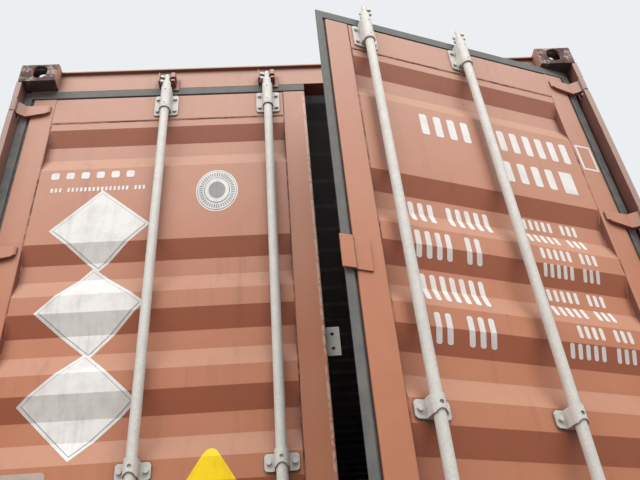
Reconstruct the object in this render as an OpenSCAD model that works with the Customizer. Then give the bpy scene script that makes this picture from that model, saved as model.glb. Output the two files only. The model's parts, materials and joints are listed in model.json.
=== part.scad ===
// Steel dry freight container, forty feet long, with its right door ajar.
// The doors are at +X, the blind end is at -X, and the container stands on z = 0.
// The origin lies midway between the four bottom corner castings' openings.

/* [Overall size] */
// Length over the corner castings
box_length = 12192; // [5900:1:13800]
// Width over the corner castings
box_width = 2438; // [2300:1:2600]
// Height over the corner castings
box_height = 2591; // [2200:1:2950]

/* [Corner castings] */
// Length of a casting along the container
casting_length = 178; // [160:1:200]
// Width of a casting across the container
casting_width = 162; // [150:1:180]
// Height of a casting
casting_height = 118; // [110:1:130]
// Thickness of the plate with the long slot
casting_slot_plate = 28; // [20:0.5:34]
// Thickness of the outer side and end walls
casting_face_wall = 15; // [10:0.5:20]
// Thickness of the inner walls
casting_back_wall = 10; // [8:0.5:14]
// Radius of the outer edges
casting_edge_radius = 20; // [6:0.5:24]
// Length of the slot in the top and bottom plates
slot_length = 124; // [115:0.5:130]
// Width of the slot in the top and bottom plates
slot_width = 63.5; // [55:0.5:70]
// Distance from the end face to the middle of the slot
slot_from_end = 103.5; // [98:0.5:106]
// Distance from the side face to the middle of the slot
slot_from_side = 89.5; // [80:0.5:92]
// Height of the openings in the side and end faces
face_hole_height = 79.5; // [70:0.5:86]
// Width of the openings in the side and end faces
face_hole_width = 63.5; // [50:0.5:68]

/* [Rear frame] */
// How far the posts' outer faces lie behind the castings' faces
post_setback = 3; // [1:0.5:6]
// Wall of the outer section of a rear post
rear_post_wall = 6; // [4:0.5:8]
// Width of the front flange of a rear post
post_flange_width = 22; // [18:1:60]
// Depth of the inner return of a rear post
post_return_depth = 113; // [90:1:125]
// Wall of the inner channel of a rear post
post_channel_wall = 12; // [8:0.5:14]
// Width of a rear post with the casting's setback
rear_post_width = 49; // [44:1:60]
// Depth of the header and sill faces behind the castings' faces
frame_setback = 60; // [50:1:75]
// Depth of the header's underside below the castings' tops
header_drop = 126; // [120:1:200]
// Height of the header's top below the castings' tops
header_top_drop = 10; // [8:1:25]
// Wall of the header
header_wall = 4; // [3:0.5:6]
// How far the rain gutter stands out
gutter_reach = 14; // [10:1:35]
// Height of the rain gutter's turned up lip
gutter_lip = 7; // [5:1:15]
// Wall of the rain gutter
gutter_wall = 3; // [2:0.5:5]
// Top of the door sill above the ground
sill_top = 165; // [150:1:169]
// Wall of the door sill
sill_wall = 4.5; // [3:0.5:8]
// Clearance of the rails and sills above the ground
rail_clearance = 12; // [8:1:16]

/* [Side and end frame] */
// Side of the square tube of the top rails
top_rail_size = 60; // [50:1:80]
// Wall of the top rails
top_rail_wall = 3; // [2:0.5:5]
// Height of the bottom side rails
bottom_rail_height = 162; // [150:1:166]
// Width of the bottom side rails' top flange
bottom_rail_top_flange = 48; // [40:1:60]
// Width of the bottom side rails' bottom flange
bottom_rail_low_flange = 30; // [24:1:60]
// Wall of the bottom side rails
bottom_rail_wall = 4.5; // [3:0.5:6]
// How far the side rails lie behind the castings' side faces
rail_setback = 4; // [2:0.5:10]
// Width of the front posts across the container
front_post_width = 102; // [90:1:150]
// Wall of the front posts
front_post_wall = 6; // [4:0.5:8]
// Width of the front posts' inner lips
front_post_lip = 40; // [25:1:60]
// Wall of the front sill
front_sill_wall = 4; // [3:0.5:6]
// Width of the front sill's flanges
front_sill_flange = 75; // [50:1:100]

/* [Corrugated walls] */
// Thickness of the wall sheets
wall_sheet = 2; // [1.2:0.1:3]
// How far the side walls' outer faces lie behind the castings' side faces
side_wall_setback = 8; // [7:0.5:14]
// Depth of the side walls' corrugation
side_wall_depth = 36; // [25:1:45]
// Width of the side walls' outer and inner faces
side_wall_face = 71; // [50:1:90]
// Width of the side walls' slopes
side_wall_slope = 68; // [30:1:80]
// Shortest flat between a side wall's end and its first recess
side_wall_end_flat = 60; // [20:1:200]
// Depth of the front wall's corrugation
front_wall_depth = 45.6; // [30:0.1:60]
// Width of the front wall's outer and inner faces
front_wall_face = 107; // [60:1:130]
// Width of the front wall's slopes
front_wall_slope = 18; // [10:1:40]
// Shortest flat between the front wall's edge and its first recess
front_wall_end_flat = 60; // [20:1:110]

/* [Roof] */
// Thickness of the roof sheet
roof_sheet = 2; // [1.5:0.1:3]
// How far the ribs' tops lie below the castings' tops
roof_drop = 6; // [6:1:12]
// Height of the roof ribs
rib_height = 20; // [10:1:30]
// Width of a rib's top
rib_top = 91; // [60:1:110]
// Width of a rib's slope
rib_slope = 13.5; // [8:0.5:25]
// Distance from rib to rib
rib_pitch = 209; // [160:1:300]
// Flat margin between a rib's end and the side rail
rib_end_margin = 40; // [20:1:80]
// Length of a roof corner plate
corner_plate_length = 300; // [150:1:500]
// Thickness of a roof corner plate
corner_plate_thickness = 3; // [2:0.5:5]

/* [Base] */
// Height of the crossmembers
crossmember_height = 122; // [100:1:124]
// Width of the crossmembers' flanges
crossmember_flange = 45; // [35:1:60]
// Wall of the crossmembers
crossmember_wall = 4; // [3:0.5:5]
// Number of spaces between the full crossmembers
crossmember_spaces = 24; // [10:1:30]
// Number of short crossmembers on each side of the tunnel
outrigger_count = 8; // [4:1:14]
// Thickness of the floor boards
floor_thickness = 28; // [20:1:35]
// Number of floor boards in a row
board_count = 5; // [3:1:8]
// Gap between floor boards
board_gap = 2; // [1:0.5:4]
// Width of the floor's centre rail
centre_rail_width = 50; // [30:1:80]
// Thickness of the floor's centre rail
centre_rail_thickness = 4; // [3:0.5:8]
// Length of the gooseneck tunnel
tunnel_length = 3315; // [3000:1:3500]
// Clear width of the gooseneck tunnel
tunnel_width = 1029; // [900:1:1100]
// Clear height of the gooseneck tunnel
tunnel_height = 120; // [100:1:124]
// Wall of the gooseneck tunnel
tunnel_wall = 4; // [3:0.5:6]

/* [Ventilators] */
// Height of a ventilator
ventilator_height = 105; // [80:1:140]
// Distance of a ventilator below the castings' tops
ventilator_drop = 260; // [180:1:400]
// Recess that holds the ventilator, counted from the end
ventilator_recess = 3; // [1:1:9]
// Height of a ventilator's slots
ventilator_slot = 7; // [4:0.5:10]
// Number of a ventilator's slots
ventilator_slots = 3; // [1:1:4]
// Clearance between a ventilator and the slopes beside it
ventilator_clearance = 1; // [0.5:0.1:3]

/* [Doors] */
// Depth of the door frames' faces behind the castings' faces
door_setback = 58; // [50:1:75]
// Distance from the hinge axis to a door frame's side
door_hinge_gap = 55; // [45:1:70]
// Place of the left door's free edge, to the right of the centre line
left_edge = 2; // [-40:0.5:20]
// Width of the seam between the two door frames
seam_width = 39; // [15:0.5:60]
// Gap between the door frames and the header and sill
door_end_gap = 51; // [30:1:70]
// Width of the door stiles
stile_width = 96; // [70:1:130]
// Height of the doors' top and bottom rails
door_rail_height = 150; // [100:1:180]
// Depth of the door frames' tubes
door_tube_depth = 50; // [40:1:56]
// Wall of the door frames' tubes
door_tube_wall = 3.2; // [2:0.1:5]
// Corner radius of the door frames' tubes
door_tube_radius = 6; // [4:0.5:10]
// Depth of the door panels' corrugation
door_panel_depth = 28; // [20:1:45]
// Height of the door panels' faces
door_panel_face = 71; // [40:1:90]
// Height of the door panels' slopes
door_panel_slope = 76; // [40:1:90]
// Height of the flat above the first recess
door_panel_margin = 40; // [20:1:80]
// Gap between the handle retainers and the lowest recess
retainer_recess_gap = 10; // [2:1:60]
// Angle at which the right door stands ajar
ajar_angle = 18; // [0:0.5:60]

/* [Gaskets] */
// Thickness of the gaskets' lips
gasket_lip = 5; // [3:0.5:7]
// Thickness of the gaskets' web on the door edge
gasket_web = 8; // [4:0.5:12]
// Width and depth of the groove between a gasket's front lip and its door
gasket_groove = 10; // [6:0.5:14]
// Gap between the gaskets' lips and what they close on
gasket_gap = 1; // [0.5:0.1:3]
// How far the gasket's front lip lies behind the door frame's face
gasket_setback = 2; // [1:0.5:5]
// Gap between the seam gasket and the left door's edge
seam_gap = 2; // [1:0.5:6]

/* [Hinges] */
// Distance from the hinge axis to the container's side and end
hinge_inset = 14; // [12:0.5:20]
// Outer radius of a hinge knuckle
knuckle_radius = 14; // [11:0.5:18]
// Radius of a hinge pin
hinge_pin_radius = 8; // [5:0.5:9]
// Clearance between a hinge pin and its knuckle
pin_clearance = 0.3; // [0.1:0.05:1]
// Height of a hinge knuckle
knuckle_height = 64; // [50:1:90]
// Height of a hinge blade at its tip
blade_tip_height = 46; // [30:1:60]
// Thickness of a hinge blade
blade_thickness = 14; // [8:0.5:16]
// Distance from the hinge axis to the blade's tip
blade_reach = 137; // [110:1:200]
// Size of the cut corner under a hinge blade's tip
blade_corner = 14; // [4:1:20]
// Thickness of a hinge lug
lug_thickness = 12; // [8:0.5:16]
// Gap between a knuckle and its lugs
lug_gap = 1; // [0.5:0.1:3]
// Distance of the outermost hinges from a door's ends
hinge_end_inset = 83; // [60:1:150]
// Distance from an outermost hinge to the next one
hinge_pitch = 738; // [400:1:760]
// Depth of the notch for a hinge in the post
hinge_notch_depth = 56; // [50:1:70]

/* [Locking bars] */
// Radius of a locking bar
bar_radius = 17; // [13:0.5:18]
// Wall of a locking bar
bar_wall = 3.5; // [2:0.5:6]
// Distance of the bars' axes behind the castings' faces
bar_setback = 22; // [20:0.5:26]
// Distance of the inner bar from its door's free edge
inner_bar_inset = 160; // [155:1:250]
// Clearance between a bar and its brackets
bar_clearance = 0.3; // [0.1:0.05:1]
// Height of the top cams' middle above the door frames
top_cam_rise = 66; // [60:1:70]
// Depth of the bottom cams' middle below the door frames
bottom_cam_drop = 90; // [80:1:95]
// Height of a cam over its two hooks
cam_height = 40; // [30:1:50]
// Height of one hook of a cam
hook_height = 12; // [8:1:16]
// Radius of a cam's core
cam_core_radius = 10.5; // [8:0.5:11]
// Radius of a cam's neck
cam_neck_radius = 17; // [14:0.5:20]
// Height of the slope at the end of a cam's neck
cam_shoulder = 5; // [2:0.5:8]
// Outer radius of a cam's hooks
hook_radius = 29; // [26:0.5:30]
// Thickness of a cam's hooks
hook_thickness = 6; // [4:0.5:6.5]
// Thickness of a keeper's lugs
keeper_lug = 6; // [4:0.5:6.5]
// Thickness of the leg that carries a keeper's lug
keeper_leg = 20; // [12:0.5:26]
// How far a keeper's leg stands in front of its bar's axis
keeper_nose = 6; // [0:0.5:10]
// Corner radius of a keeper's leg
keeper_round = 6; // [2:0.5:8]
// Thickness of a keeper's cheek on the hinge side of its bar
keeper_cheek = 6; // [4:0.5:8]
// Gap between a keeper's lug and the hook behind it
keeper_gap = 3; // [2:0.5:4]
// Angle behind the bar's axis at which a cam's hooks begin
hook_from = -104; // [-110:1:-60]
// Angle at which a cam's arm ends
arm_to = -34; // [-40:1:-30]
// Angle at which a keeper's lug begins
lug_from = -24; // [-28:1:0]
// Angle at which a cam's hooks end
hook_to = 22; // [15:1:26]
// Angle at which a keeper's lug meets its leg
lug_to = 45; // [38:1:50]
// Height of a keeper's base plate
keeper_height = 72; // [66:1:80]
// Width of a keeper's base plate
keeper_width = 36; // [28:1:50]
// Thickness of a keeper's base plate
keeper_plate = 6; // [4:0.5:8]
// Radius of a bar's collars
collar_radius = 23; // [20:0.5:25]
// Height of a bar's collars
collar_height = 8; // [6:1:16]
// Gap between a bar's collar and the housing beside it
collar_gap = 3; // [1:0.5:5]

/* [Bar brackets] */
// Width of a bearing bracket's plate
bracket_width = 98; // [80:1:120]
// Height of a bearing bracket's plate
bracket_height = 120; // [90:1:130]
// Thickness of the brackets' plates
bracket_plate = 6; // [4:0.5:10]
// Corner radius of the brackets' plates
bracket_corner = 11; // [6:0.5:18]
// Distance of a bearing bracket's plate from the door frame's end
bracket_inset = 9; // [5:1:20]
// Width of a bracket's housing
housing_width = 43; // [40:0.5:48]
// How far a bearing housing stands past its door frame's end
housing_rise = 8; // [4:1:14]
// Height of a guide bracket's plate
guide_height = 52; // [40:1:60]
// Width of a guide bracket's plate
guide_width = 103; // [80:1:120]
// Width of the arch under a guide bracket
guide_arch = 20; // [10:1:26]
// Radius of a bracket's bolt heads
bolt_head_radius = 8; // [5:0.5:10]
// Height of a bracket's bolt heads
bolt_head_height = 8; // [3:0.5:9]
// Distance of a bolt head from the plate's edges
bolt_inset = 13; // [11:0.5:18]
// Radius of the rivet holes in a bearing housing
rivet_radius = 3; // [2:0.5:4]
// Radius of the hole in a guide bracket's housing
guide_hole_radius = 6; // [3:0.5:8]
// Height of the guide brackets above the flat that carries them
guide_rise = 36; // [30:1:44]

/* [Handles] */
// Height of the handles above the ground
handle_height = 450; // [430:1:480]
// Gap between the outer handle's end and the edge of its door's panel
handle_end_gap = 27; // [20:1:80]
// Gap between the inner handle's end and the outer bar's hub
handle_hub_gap = 6; // [5:1:20]
// Height of a handle's flat bar
handle_bar_height = 38; // [25:1:50]
// Thickness of a handle's flat bar
handle_thickness = 10; // [6:0.5:14]
// Depth of a handle's middle behind the castings' faces
handle_setback = 42; // [36:0.5:45]
// Height of a handle's hub
hub_height = 62; // [50:1:80]
// Radius of a handle's hub
hub_radius = 25; // [22:0.5:28]
// Length of the offset between a hub and its handle
handle_offset_length = 70; // [55:1:100]
// Width of a handle retainer
retainer_width = 56; // [40:1:80]
// Distance from a handle's end to the middle of its retainer
retainer_from_end = 50; // [35:1:90]
// Height of a retainer's plate
retainer_height = 104; // [90:1:120]
// Thickness of a retainer's plates
retainer_plate = 5; // [4:0.5:8]
// Radius of the seal holes in a handle and its retainer
seal_hole_radius = 5; // [3:0.5:7]
// Radius of the rivet at a handle's hub
hub_rivet_radius = 8; // [5:0.5:10]
// Gap between a handle and its retainer
retainer_gap = 5; // [5:0.5:8]

/* [Seam plates] */
// Height of the overlap plate's middle above the ground
overlap_middle = 1266; // [1000:1:1500]
// Height of the overlap plate
overlap_height = 118; // [80:1:160]
// Width of the overlap plate
overlap_width = 98; // [60:1:120]
// Thickness of the seam plates
seam_plate = 5; // [3:0.5:8]
// How far the overlap plate reaches over the left door
overlap_reach = 9; // [4:1:20]
// Gap between the overlap plate and the left door's face
overlap_gap = 6; // [5:0.5:10]
// Height of the catch plate's middle above the ground
catch_middle = 1210; // [1000:1:1500]
// Height of the catch plate
catch_height = 108; // [80:1:160]
// How far the catch plate reaches past the left door's edge
catch_reach = 50; // [30:1:60]
// Depth of the catch plate's front behind the door frame's back
catch_setback = 6; // [5:0.5:10]
// Radius of the holes in the catch plate
catch_hole_radius = 6; // [3:0.5:9]

/* [Hidden] */
$fn = 48;

paint = [0.62, 0.38, 0.31];
rust = [0.36, 0.27, 0.24];
zinc = [0.80, 0.80, 0.78];
dark_rubber = [0.27, 0.28, 0.27];
board = [0.55, 0.38, 0.24];
grey_plastic = [0.55, 0.55, 0.53];

// Cuts run this far past a face so that nothing is left as a film.
past = 2;

end_x = box_length / 2;
side_y = box_width / 2;
door_opening_width = box_width - 2 * rear_post_width;
post_length = box_height - 2 * casting_height;
header_bottom = box_height - header_drop;
frame_back = casting_length;
casting_inner_y = side_y - casting_width;
casting_inner_x = end_x - casting_length;

door_bottom = sill_top + door_end_gap;
door_top = header_bottom - door_end_gap;
hinge_x = end_x - hinge_inset;
hinge_y = side_y - hinge_inset;
door_face_x = end_x - door_setback;
door_back_x = door_face_x - door_tube_depth;
bar_x = end_x - bar_setback;
door_side_y = hinge_y - door_hinge_gap;
post_return_y = side_y - post_setback - post_flange_width;
right_edge = left_edge + seam_width;

roof_low = box_height - roof_drop - rib_height;
rail_top = roof_low - roof_sheet;
floor_top = rail_clearance + bottom_rail_height - bottom_rail_wall;
floor_bottom = floor_top - floor_thickness;
crossmember_bottom = floor_bottom - crossmember_height;
rail_outer_y = side_y - rail_setback;
rail_web_y = rail_outer_y - bottom_rail_wall;
wall_outer_y = side_y - side_wall_setback;
wall_bottom = rail_clearance + bottom_rail_height;
wall_top = rail_top - top_rail_size;
front_face_x = -end_x + post_setback;
front_wall_x = front_face_x + front_post_wall;
front_wall_half = side_y - post_setback - front_post_width;

door_pitch = 2 * (door_panel_face + door_panel_slope);
first_recess = door_top - door_rail_height - door_panel_margin;
recess_height = door_pitch - door_panel_face;
recess_floor = handle_height + retainer_height / 2 + retainer_recess_gap;
last_recess = floor((first_recess - recess_height - recess_floor) / door_pitch);
handle_length = (door_side_y - stile_width - right_edge - inner_bar_inset - hub_radius
    - handle_hub_gap - handle_end_gap) / 2;
outer_bar_inset = inner_bar_inset + handle_length + hub_radius + handle_hub_gap;
retainer_distance = handle_length - retainer_from_end;

// Rectangle with round corners, from one corner to the other.
module round_rectangle(from, to, radius) {
    translate([from[0] + radius, from[1]])
        square([to[0] - from[0] - 2 * radius, to[1] - from[1]]);
    translate([from[0], from[1] + radius])
        square([to[0] - from[0], to[1] - from[1] - 2 * radius]);
    for (x = [from[0] + radius, to[0] - radius], y = [from[1] + radius, to[1] - radius])
        translate([x, y]) circle(radius);
}

// Box from one corner to the opposite one.
module block(from, to) {
    translate(from) cube([to[0] - from[0], to[1] - from[1], to[2] - from[2]]);
}

// Extrusion along +X of an outline drawn in Y and Z.
module along_x(x, length) {
    translate([x, 0, 0]) rotate([90, 0, 90]) linear_extrude(length) children();
}

// Extrusion along Y of an outline drawn in X and Z, centred on y = middle.
module along_y(middle, length) {
    translate([0, middle + length / 2, 0]) rotate([90, 0, 0]) linear_extrude(length) children();
}

// The same piece on the left and on the right of the container.
module both_sides() {
    children();
    mirror([0, 1, 0]) children();
}

// The same piece at the door end and at the blind end.
module both_ends() {
    children();
    mirror([1, 0, 0]) children();
}

// Turns the closed right door, drawn as a left one, to where it stands ajar.
module right_leaf() {
    translate([hinge_x, hinge_y, 0]) rotate([0, 0, ajar_angle])
        translate([-hinge_x, -hinge_y, 0]) mirror([0, 1, 0]) children();
}

// Wavy sheet outline: starts at the first recess and ends after the last one.
// Lengths run along X of the outline, depths along Y.
function recess(start, slope, face, depth, shift, sheet) = [
    [start - shift, sheet],
    [start + slope - shift, depth + sheet],
    [start + slope + face + shift, depth + sheet],
    [start + 2 * slope + face + shift, sheet]
];

function recess_run(starts, slope, face, depth, shift, sheet) =
    [for (s = starts) each recess(s, slope, face, depth, shift, sheet)];

function reversed(list) = [for (i = [len(list) - 1:-1:0]) list[i]];

// Sheet with trapezoid recesses between two ends, one sheet thick all along.
module wavy_sheet(from, to, starts, slope, face, depth, sheet) {
    turn = sheet * tan(atan(depth / slope) / 2);
    front = recess_run(starts, slope, face, depth, 0, 0);
    back = recess_run(starts, slope, face, depth, turn, sheet);
    polygon(concat([[from, 0]], front, [[to, 0], [to, sheet]], reversed(back), [[from, sheet]]));
}

// One top casting at the door end on the +Y side, its outer corner at the origin.
module casting_corner(width, depth, radius) {
    translate([-width, -depth]) square([width - radius, depth]);
    translate([-width, -depth]) square([width, depth - radius]);
    translate([-radius, -radius]) circle(radius);
}

module casting_body() {
    intersection() {
        translate([0, 0, -casting_height]) linear_extrude(casting_height)
            casting_corner(casting_length, casting_width, casting_edge_radius);
        along_x(-casting_length, casting_length)
            casting_corner(casting_width, casting_height, casting_edge_radius);
        along_y(-casting_width / 2, casting_width)
            casting_corner(casting_length, casting_height, casting_edge_radius);
    }
}

module casting() {
    slot_half = (slot_length - slot_width) / 2;
    hole_half = (face_hole_height - face_hole_width) / 2;
    difference() {
        casting_body();
        block([-casting_length + casting_back_wall, -casting_width + casting_back_wall,
                -casting_height + casting_back_wall],
            [-casting_face_wall, -casting_face_wall, -casting_slot_plate]);
        translate([-slot_from_end, -slot_from_side, -casting_slot_plate - past])
            linear_extrude(casting_slot_plate + 2 * past) {
                for (x = [-slot_half, slot_half]) translate([x, 0]) circle(slot_width / 2);
                translate([-slot_half, -slot_width / 2]) square([2 * slot_half, slot_width]);
            }
        along_x(-casting_face_wall - past, casting_face_wall + 2 * past)
            translate([-slot_from_side, -casting_height / 2]) casting_face_hole(hole_half);
        along_y(-casting_face_wall / 2, casting_face_wall + 2 * past)
            translate([-slot_from_end, -casting_height / 2]) casting_face_hole(hole_half);
    }
}

module casting_face_hole(half) {
    for (y = [-half, half]) translate([0, y]) circle(face_hole_width / 2);
    translate([-face_hole_width / 2, -half]) square([face_hole_width, 2 * half]);
}

module four_castings() {
    both_ends() both_sides() translate([end_x, side_y, 0]) casting();
}

module corner_castings_top() {
    color(rust) translate([0, 0, box_height]) four_castings();
}

module corner_castings_bottom() {
    color(rust) mirror([0, 0, 1]) four_castings();
}

// Heights of the four hinges, the same on both doors.
function hinge_heights() = [
    door_bottom + hinge_end_inset,
    door_bottom + hinge_end_inset + hinge_pitch,
    door_top - hinge_end_inset - hinge_pitch,
    door_top - hinge_end_inset
];

// Half the height of a hinge with its gaps and lugs.
hinge_half = knuckle_height / 2 + lug_gap + lug_thickness;

// Plan of a rear post at the +Y side: the outer section and the inner channel.
module rear_post_plan() {
    face = end_x - post_setback;
    outer = side_y - post_setback;
    back = end_x - frame_back;
    inner = door_opening_width / 2;
    channel_front = end_x - post_setback - post_return_depth;
    translate([face - rear_post_wall, post_return_y])
        square([rear_post_wall, outer - post_return_y]);
    translate([back, outer - rear_post_wall]) square([face - back, rear_post_wall]);
    translate([channel_front, post_return_y]) square([face - channel_front, rear_post_wall]);
    translate([channel_front - post_channel_wall, inner])
        square([post_channel_wall, post_return_y + rear_post_wall - inner]);
    translate([back, inner]) square([channel_front - back, post_channel_wall]);
    translate([back, inner]) square([post_channel_wall, outer - inner]);
}

module rear_posts() {
    color(paint) both_sides() difference() {
        translate([0, 0, casting_height]) linear_extrude(post_length) rear_post_plan();
        for (z = hinge_heights())
            block([end_x - hinge_notch_depth, post_return_y - past, z - hinge_half],
                [end_x + past, side_y + past, z + hinge_half]);
    }
}

// Lug plates above and below each knuckle, with the pin that they hold.
module hinge_lugs() {
    face = end_x - post_setback;
    outer = side_y - post_setback;
    lug_half = (hinge_inset - post_setback) * 2;
    color(paint) both_sides() for (z = hinge_heights()) {
        for (end = [z - hinge_half, z + hinge_half - lug_thickness])
            translate([0, 0, end]) linear_extrude(lug_thickness)
                round_rectangle([face - lug_half, outer - lug_half], [face, outer],
                    rear_post_wall);
        translate([hinge_x, hinge_y, z - hinge_half]) cylinder(r = hinge_pin_radius, h = 2 * hinge_half);
    }
}

module door_header() {
    face = end_x - frame_setback;
    back = end_x - frame_back;
    top = box_height - header_top_drop;
    flange_top = box_height - casting_height;
    color(paint) {
        along_y(0, 2 * casting_inner_y) difference() {
            translate([back, header_bottom]) square([face - back, top - header_bottom]);
            translate([back + header_wall, flange_top])
                square([face - back - 2 * header_wall, top - header_wall - flange_top]);
        }
        block([back, -door_opening_width / 2, header_bottom],
            [face, door_opening_width / 2, flange_top]);
    }
}

module rain_gutter() {
    face = end_x - frame_setback;
    top = box_height - header_top_drop;
    color(paint) along_y(0, 2 * casting_inner_y) {
        translate([face, top - gutter_lip]) square([gutter_reach, gutter_wall]);
        translate([face + gutter_reach - gutter_wall, top - gutter_lip])
            square([gutter_wall, gutter_lip]);
    }
}

module door_sill() {
    face = end_x - frame_setback;
    back = end_x - frame_back;
    color(paint) {
        along_y(0, 2 * casting_inner_y) difference() {
            translate([back, rail_clearance]) square([face - back, sill_top - rail_clearance]);
            translate([back + sill_wall, rail_clearance + sill_wall])
                square([face - back - 2 * sill_wall, sill_top - rail_clearance - 2 * sill_wall]);
        }
        block([back, -door_opening_width / 2, casting_height],
            [face, -casting_inner_y, sill_top]);
        block([back, casting_inner_y, casting_height],
            [face, door_opening_width / 2, sill_top]);
        block([back, -door_opening_width / 2, sill_top],
            [end_x - post_setback - post_return_depth - rear_post_wall,
                door_opening_width / 2, floor_top]);
    }
}

// Part of a ring between two radii and two angles, counted from -X towards +Y.
module ring_sector(inner, outer, from, to) {
    reach = 3 * outer;
    middle = (from + to) / 2;
    intersection() {
        difference() {
            circle(outer);
            circle(inner);
        }
        polygon([[0, 0], [-reach * cos(from), reach * sin(from)],
            [-reach * cos(middle), reach * sin(middle)], [-reach * cos(to), reach * sin(to)]]);
    }
}

lug_outer = hook_radius - hook_thickness - keeper_gap;
lug_inner = lug_outer - keeper_lug;
leg_y = hook_radius * sin(hook_to) + keeper_gap;
header_reach = frame_setback - bar_setback;

// Plan of a keeper around its bar's axis: a lug in front of the hook, and its leg.
module keeper_plan() {
    ring_sector(lug_inner, lug_outer, lug_from, lug_to);
    round_rectangle([-header_reach - keeper_round, leg_y], [keeper_nose, leg_y + keeper_leg],
        keeper_round);
    translate([-lug_outer * cos(lug_to), lug_inner * sin(lug_to)])
        square([keeper_lug, leg_y + keeper_round - lug_inner * sin(lug_to)]);
}

// Keeper of a top cam, with the cam's middle at z = 0 and the cam's neck below it.
module keeper() {
    slit = cam_height / 2 - hook_height;
    low = keeper_gap - cam_height / 2;
    top = keeper_height / 2;
    base_y = leg_y - keeper_gap;
    cheek_y = -hook_radius - keeper_gap;
    difference() {
        translate([0, 0, low]) linear_extrude(top - low) keeper_plan();
        block([-header_reach + keeper_plate, -hook_radius, -slit],
            [header_reach, base_y + keeper_width, slit]);
        block([-header_reach - keeper_height, base_y, low - past],
            [-header_reach, base_y + keeper_width, top + past]);
    }
    block([-header_reach, base_y, -top], [-header_reach + keeper_plate, base_y + keeper_width, top]);
    block([-header_reach, cheek_y - keeper_cheek, -slit],
        [-header_reach + keeper_plate, base_y + keeper_width, top]);
    translate([0, 0, low]) linear_extrude(top - low)
        round_rectangle([-header_reach, cheek_y - keeper_cheek], [keeper_nose, cheek_y],
            keeper_cheek / 3);
}

module keeper_row() {
    for (inset = [inner_bar_inset, outer_bar_inset]) {
        translate([bar_x, left_edge - inset, 0]) keeper();
        translate([bar_x, right_edge + inset, 0]) mirror([0, 1, 0]) keeper();
    }
}

module header_keepers() {
    color(paint) translate([0, 0, door_top + top_cam_rise]) keeper_row();
}

module sill_keepers() {
    color(paint) translate([0, 0, door_bottom - bottom_cam_drop]) mirror([0, 0, 1]) keeper_row();
}

// Plan of a front post at the +Y side.
module front_post_plan() {
    outer = side_y - post_setback;
    inner = outer - front_post_width;
    back = -casting_inner_x;
    translate([front_face_x, inner]) square([front_post_wall, front_post_width]);
    translate([front_face_x, outer - front_post_wall])
        square([back - front_face_x, front_post_wall]);
    translate([front_face_x, inner]) square([front_wall_depth, front_post_wall]);
    translate([back - front_post_wall, outer - front_post_lip])
        square([front_post_wall, front_post_lip]);
}

module front_posts() {
    color(paint) both_sides() translate([0, 0, casting_height])
        linear_extrude(post_length) front_post_plan();
}

module square_tube_outline(from, to, wall) {
    difference() {
        round_rectangle(from, to, 2 * wall);
        round_rectangle([from[0] + wall, from[1] + wall], [to[0] - wall, to[1] - wall], wall);
    }
}

module front_top_rail() {
    color(paint) {
        along_y(0, 2 * casting_inner_y)
            square_tube_outline([front_face_x, wall_top], [front_face_x + top_rail_size, rail_top],
                top_rail_wall);
        block([front_face_x, -casting_inner_y, rail_top - top_rail_wall],
            [-casting_inner_x, casting_inner_y, rail_top + roof_sheet]);
    }
}

module front_sill() {
    color(paint) difference() {
        along_y(0, 2 * casting_inner_y) {
            translate([front_face_x, rail_clearance])
                square([front_sill_wall, bottom_rail_height]);
            for (z = [rail_clearance, wall_bottom - front_sill_wall])
                translate([front_face_x, z]) square([front_sill_flange, front_sill_wall]);
        }
        block([front_face_x - past, -tunnel_width / 2 - tunnel_wall, rail_clearance - past],
            [front_face_x + front_sill_flange + past, tunnel_width / 2 + tunnel_wall,
                tunnel_height + tunnel_wall]);
    }
}

module front_wall() {
    pitch = 2 * (front_wall_face + front_wall_slope);
    count = floor((2 * (front_wall_half - front_wall_end_flat) + front_wall_face) / pitch);
    run = count * pitch - front_wall_face;
    starts = [for (i = [0:count - 1]) -run / 2 + i * pitch];
    color(paint) difference() {
        translate([0, 0, wall_bottom]) linear_extrude(wall_top - wall_bottom)
            translate([front_wall_x, 0]) mirror([1, 0]) rotate([0, 0, 90])
                wavy_sheet(-front_wall_half, front_wall_half, starts, front_wall_slope,
                    front_wall_face, front_wall_depth, wall_sheet);
        both_sides() block([-end_x, casting_inner_y, box_height - casting_height],
            [-casting_inner_x, side_y, box_height]);
    }
}

module top_side_rails() {
    color(paint) both_sides() along_x(-casting_inner_x, 2 * casting_inner_x)
        square_tube_outline([rail_outer_y - top_rail_size, wall_top], [rail_outer_y, rail_top],
            top_rail_wall);
}

module bottom_side_rails() {
    color(paint) both_sides() along_x(-casting_inner_x, 2 * casting_inner_x) {
        translate([rail_web_y, rail_clearance]) square([bottom_rail_wall, bottom_rail_height]);
        translate([rail_outer_y - bottom_rail_top_flange, wall_bottom - bottom_rail_wall])
            square([bottom_rail_top_flange, bottom_rail_wall]);
        translate([rail_outer_y - bottom_rail_low_flange, rail_clearance])
            square([bottom_rail_low_flange, bottom_rail_wall]);
    }
}

side_pitch = 2 * (side_wall_face + side_wall_slope);
side_count = floor((2 * (casting_inner_x - side_wall_end_flat) + side_wall_face) / side_pitch);
side_run = side_count * side_pitch - side_wall_face;

// Side wall at the +Y side, from the front post to the rear post.
module side_wall() {
    starts = [for (i = [0:side_count - 1]) -side_run / 2 + i * side_pitch];
    color(paint) translate([0, wall_outer_y, wall_bottom]) linear_extrude(wall_top - wall_bottom)
        mirror([0, 1]) wavy_sheet(-casting_inner_x, casting_inner_x, starts, side_wall_slope,
            side_wall_face, side_wall_depth, wall_sheet);
}

module right_side_wall() {
    side_wall();
}

module left_side_wall() {
    mirror([0, 1, 0]) side_wall();
}

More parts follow.
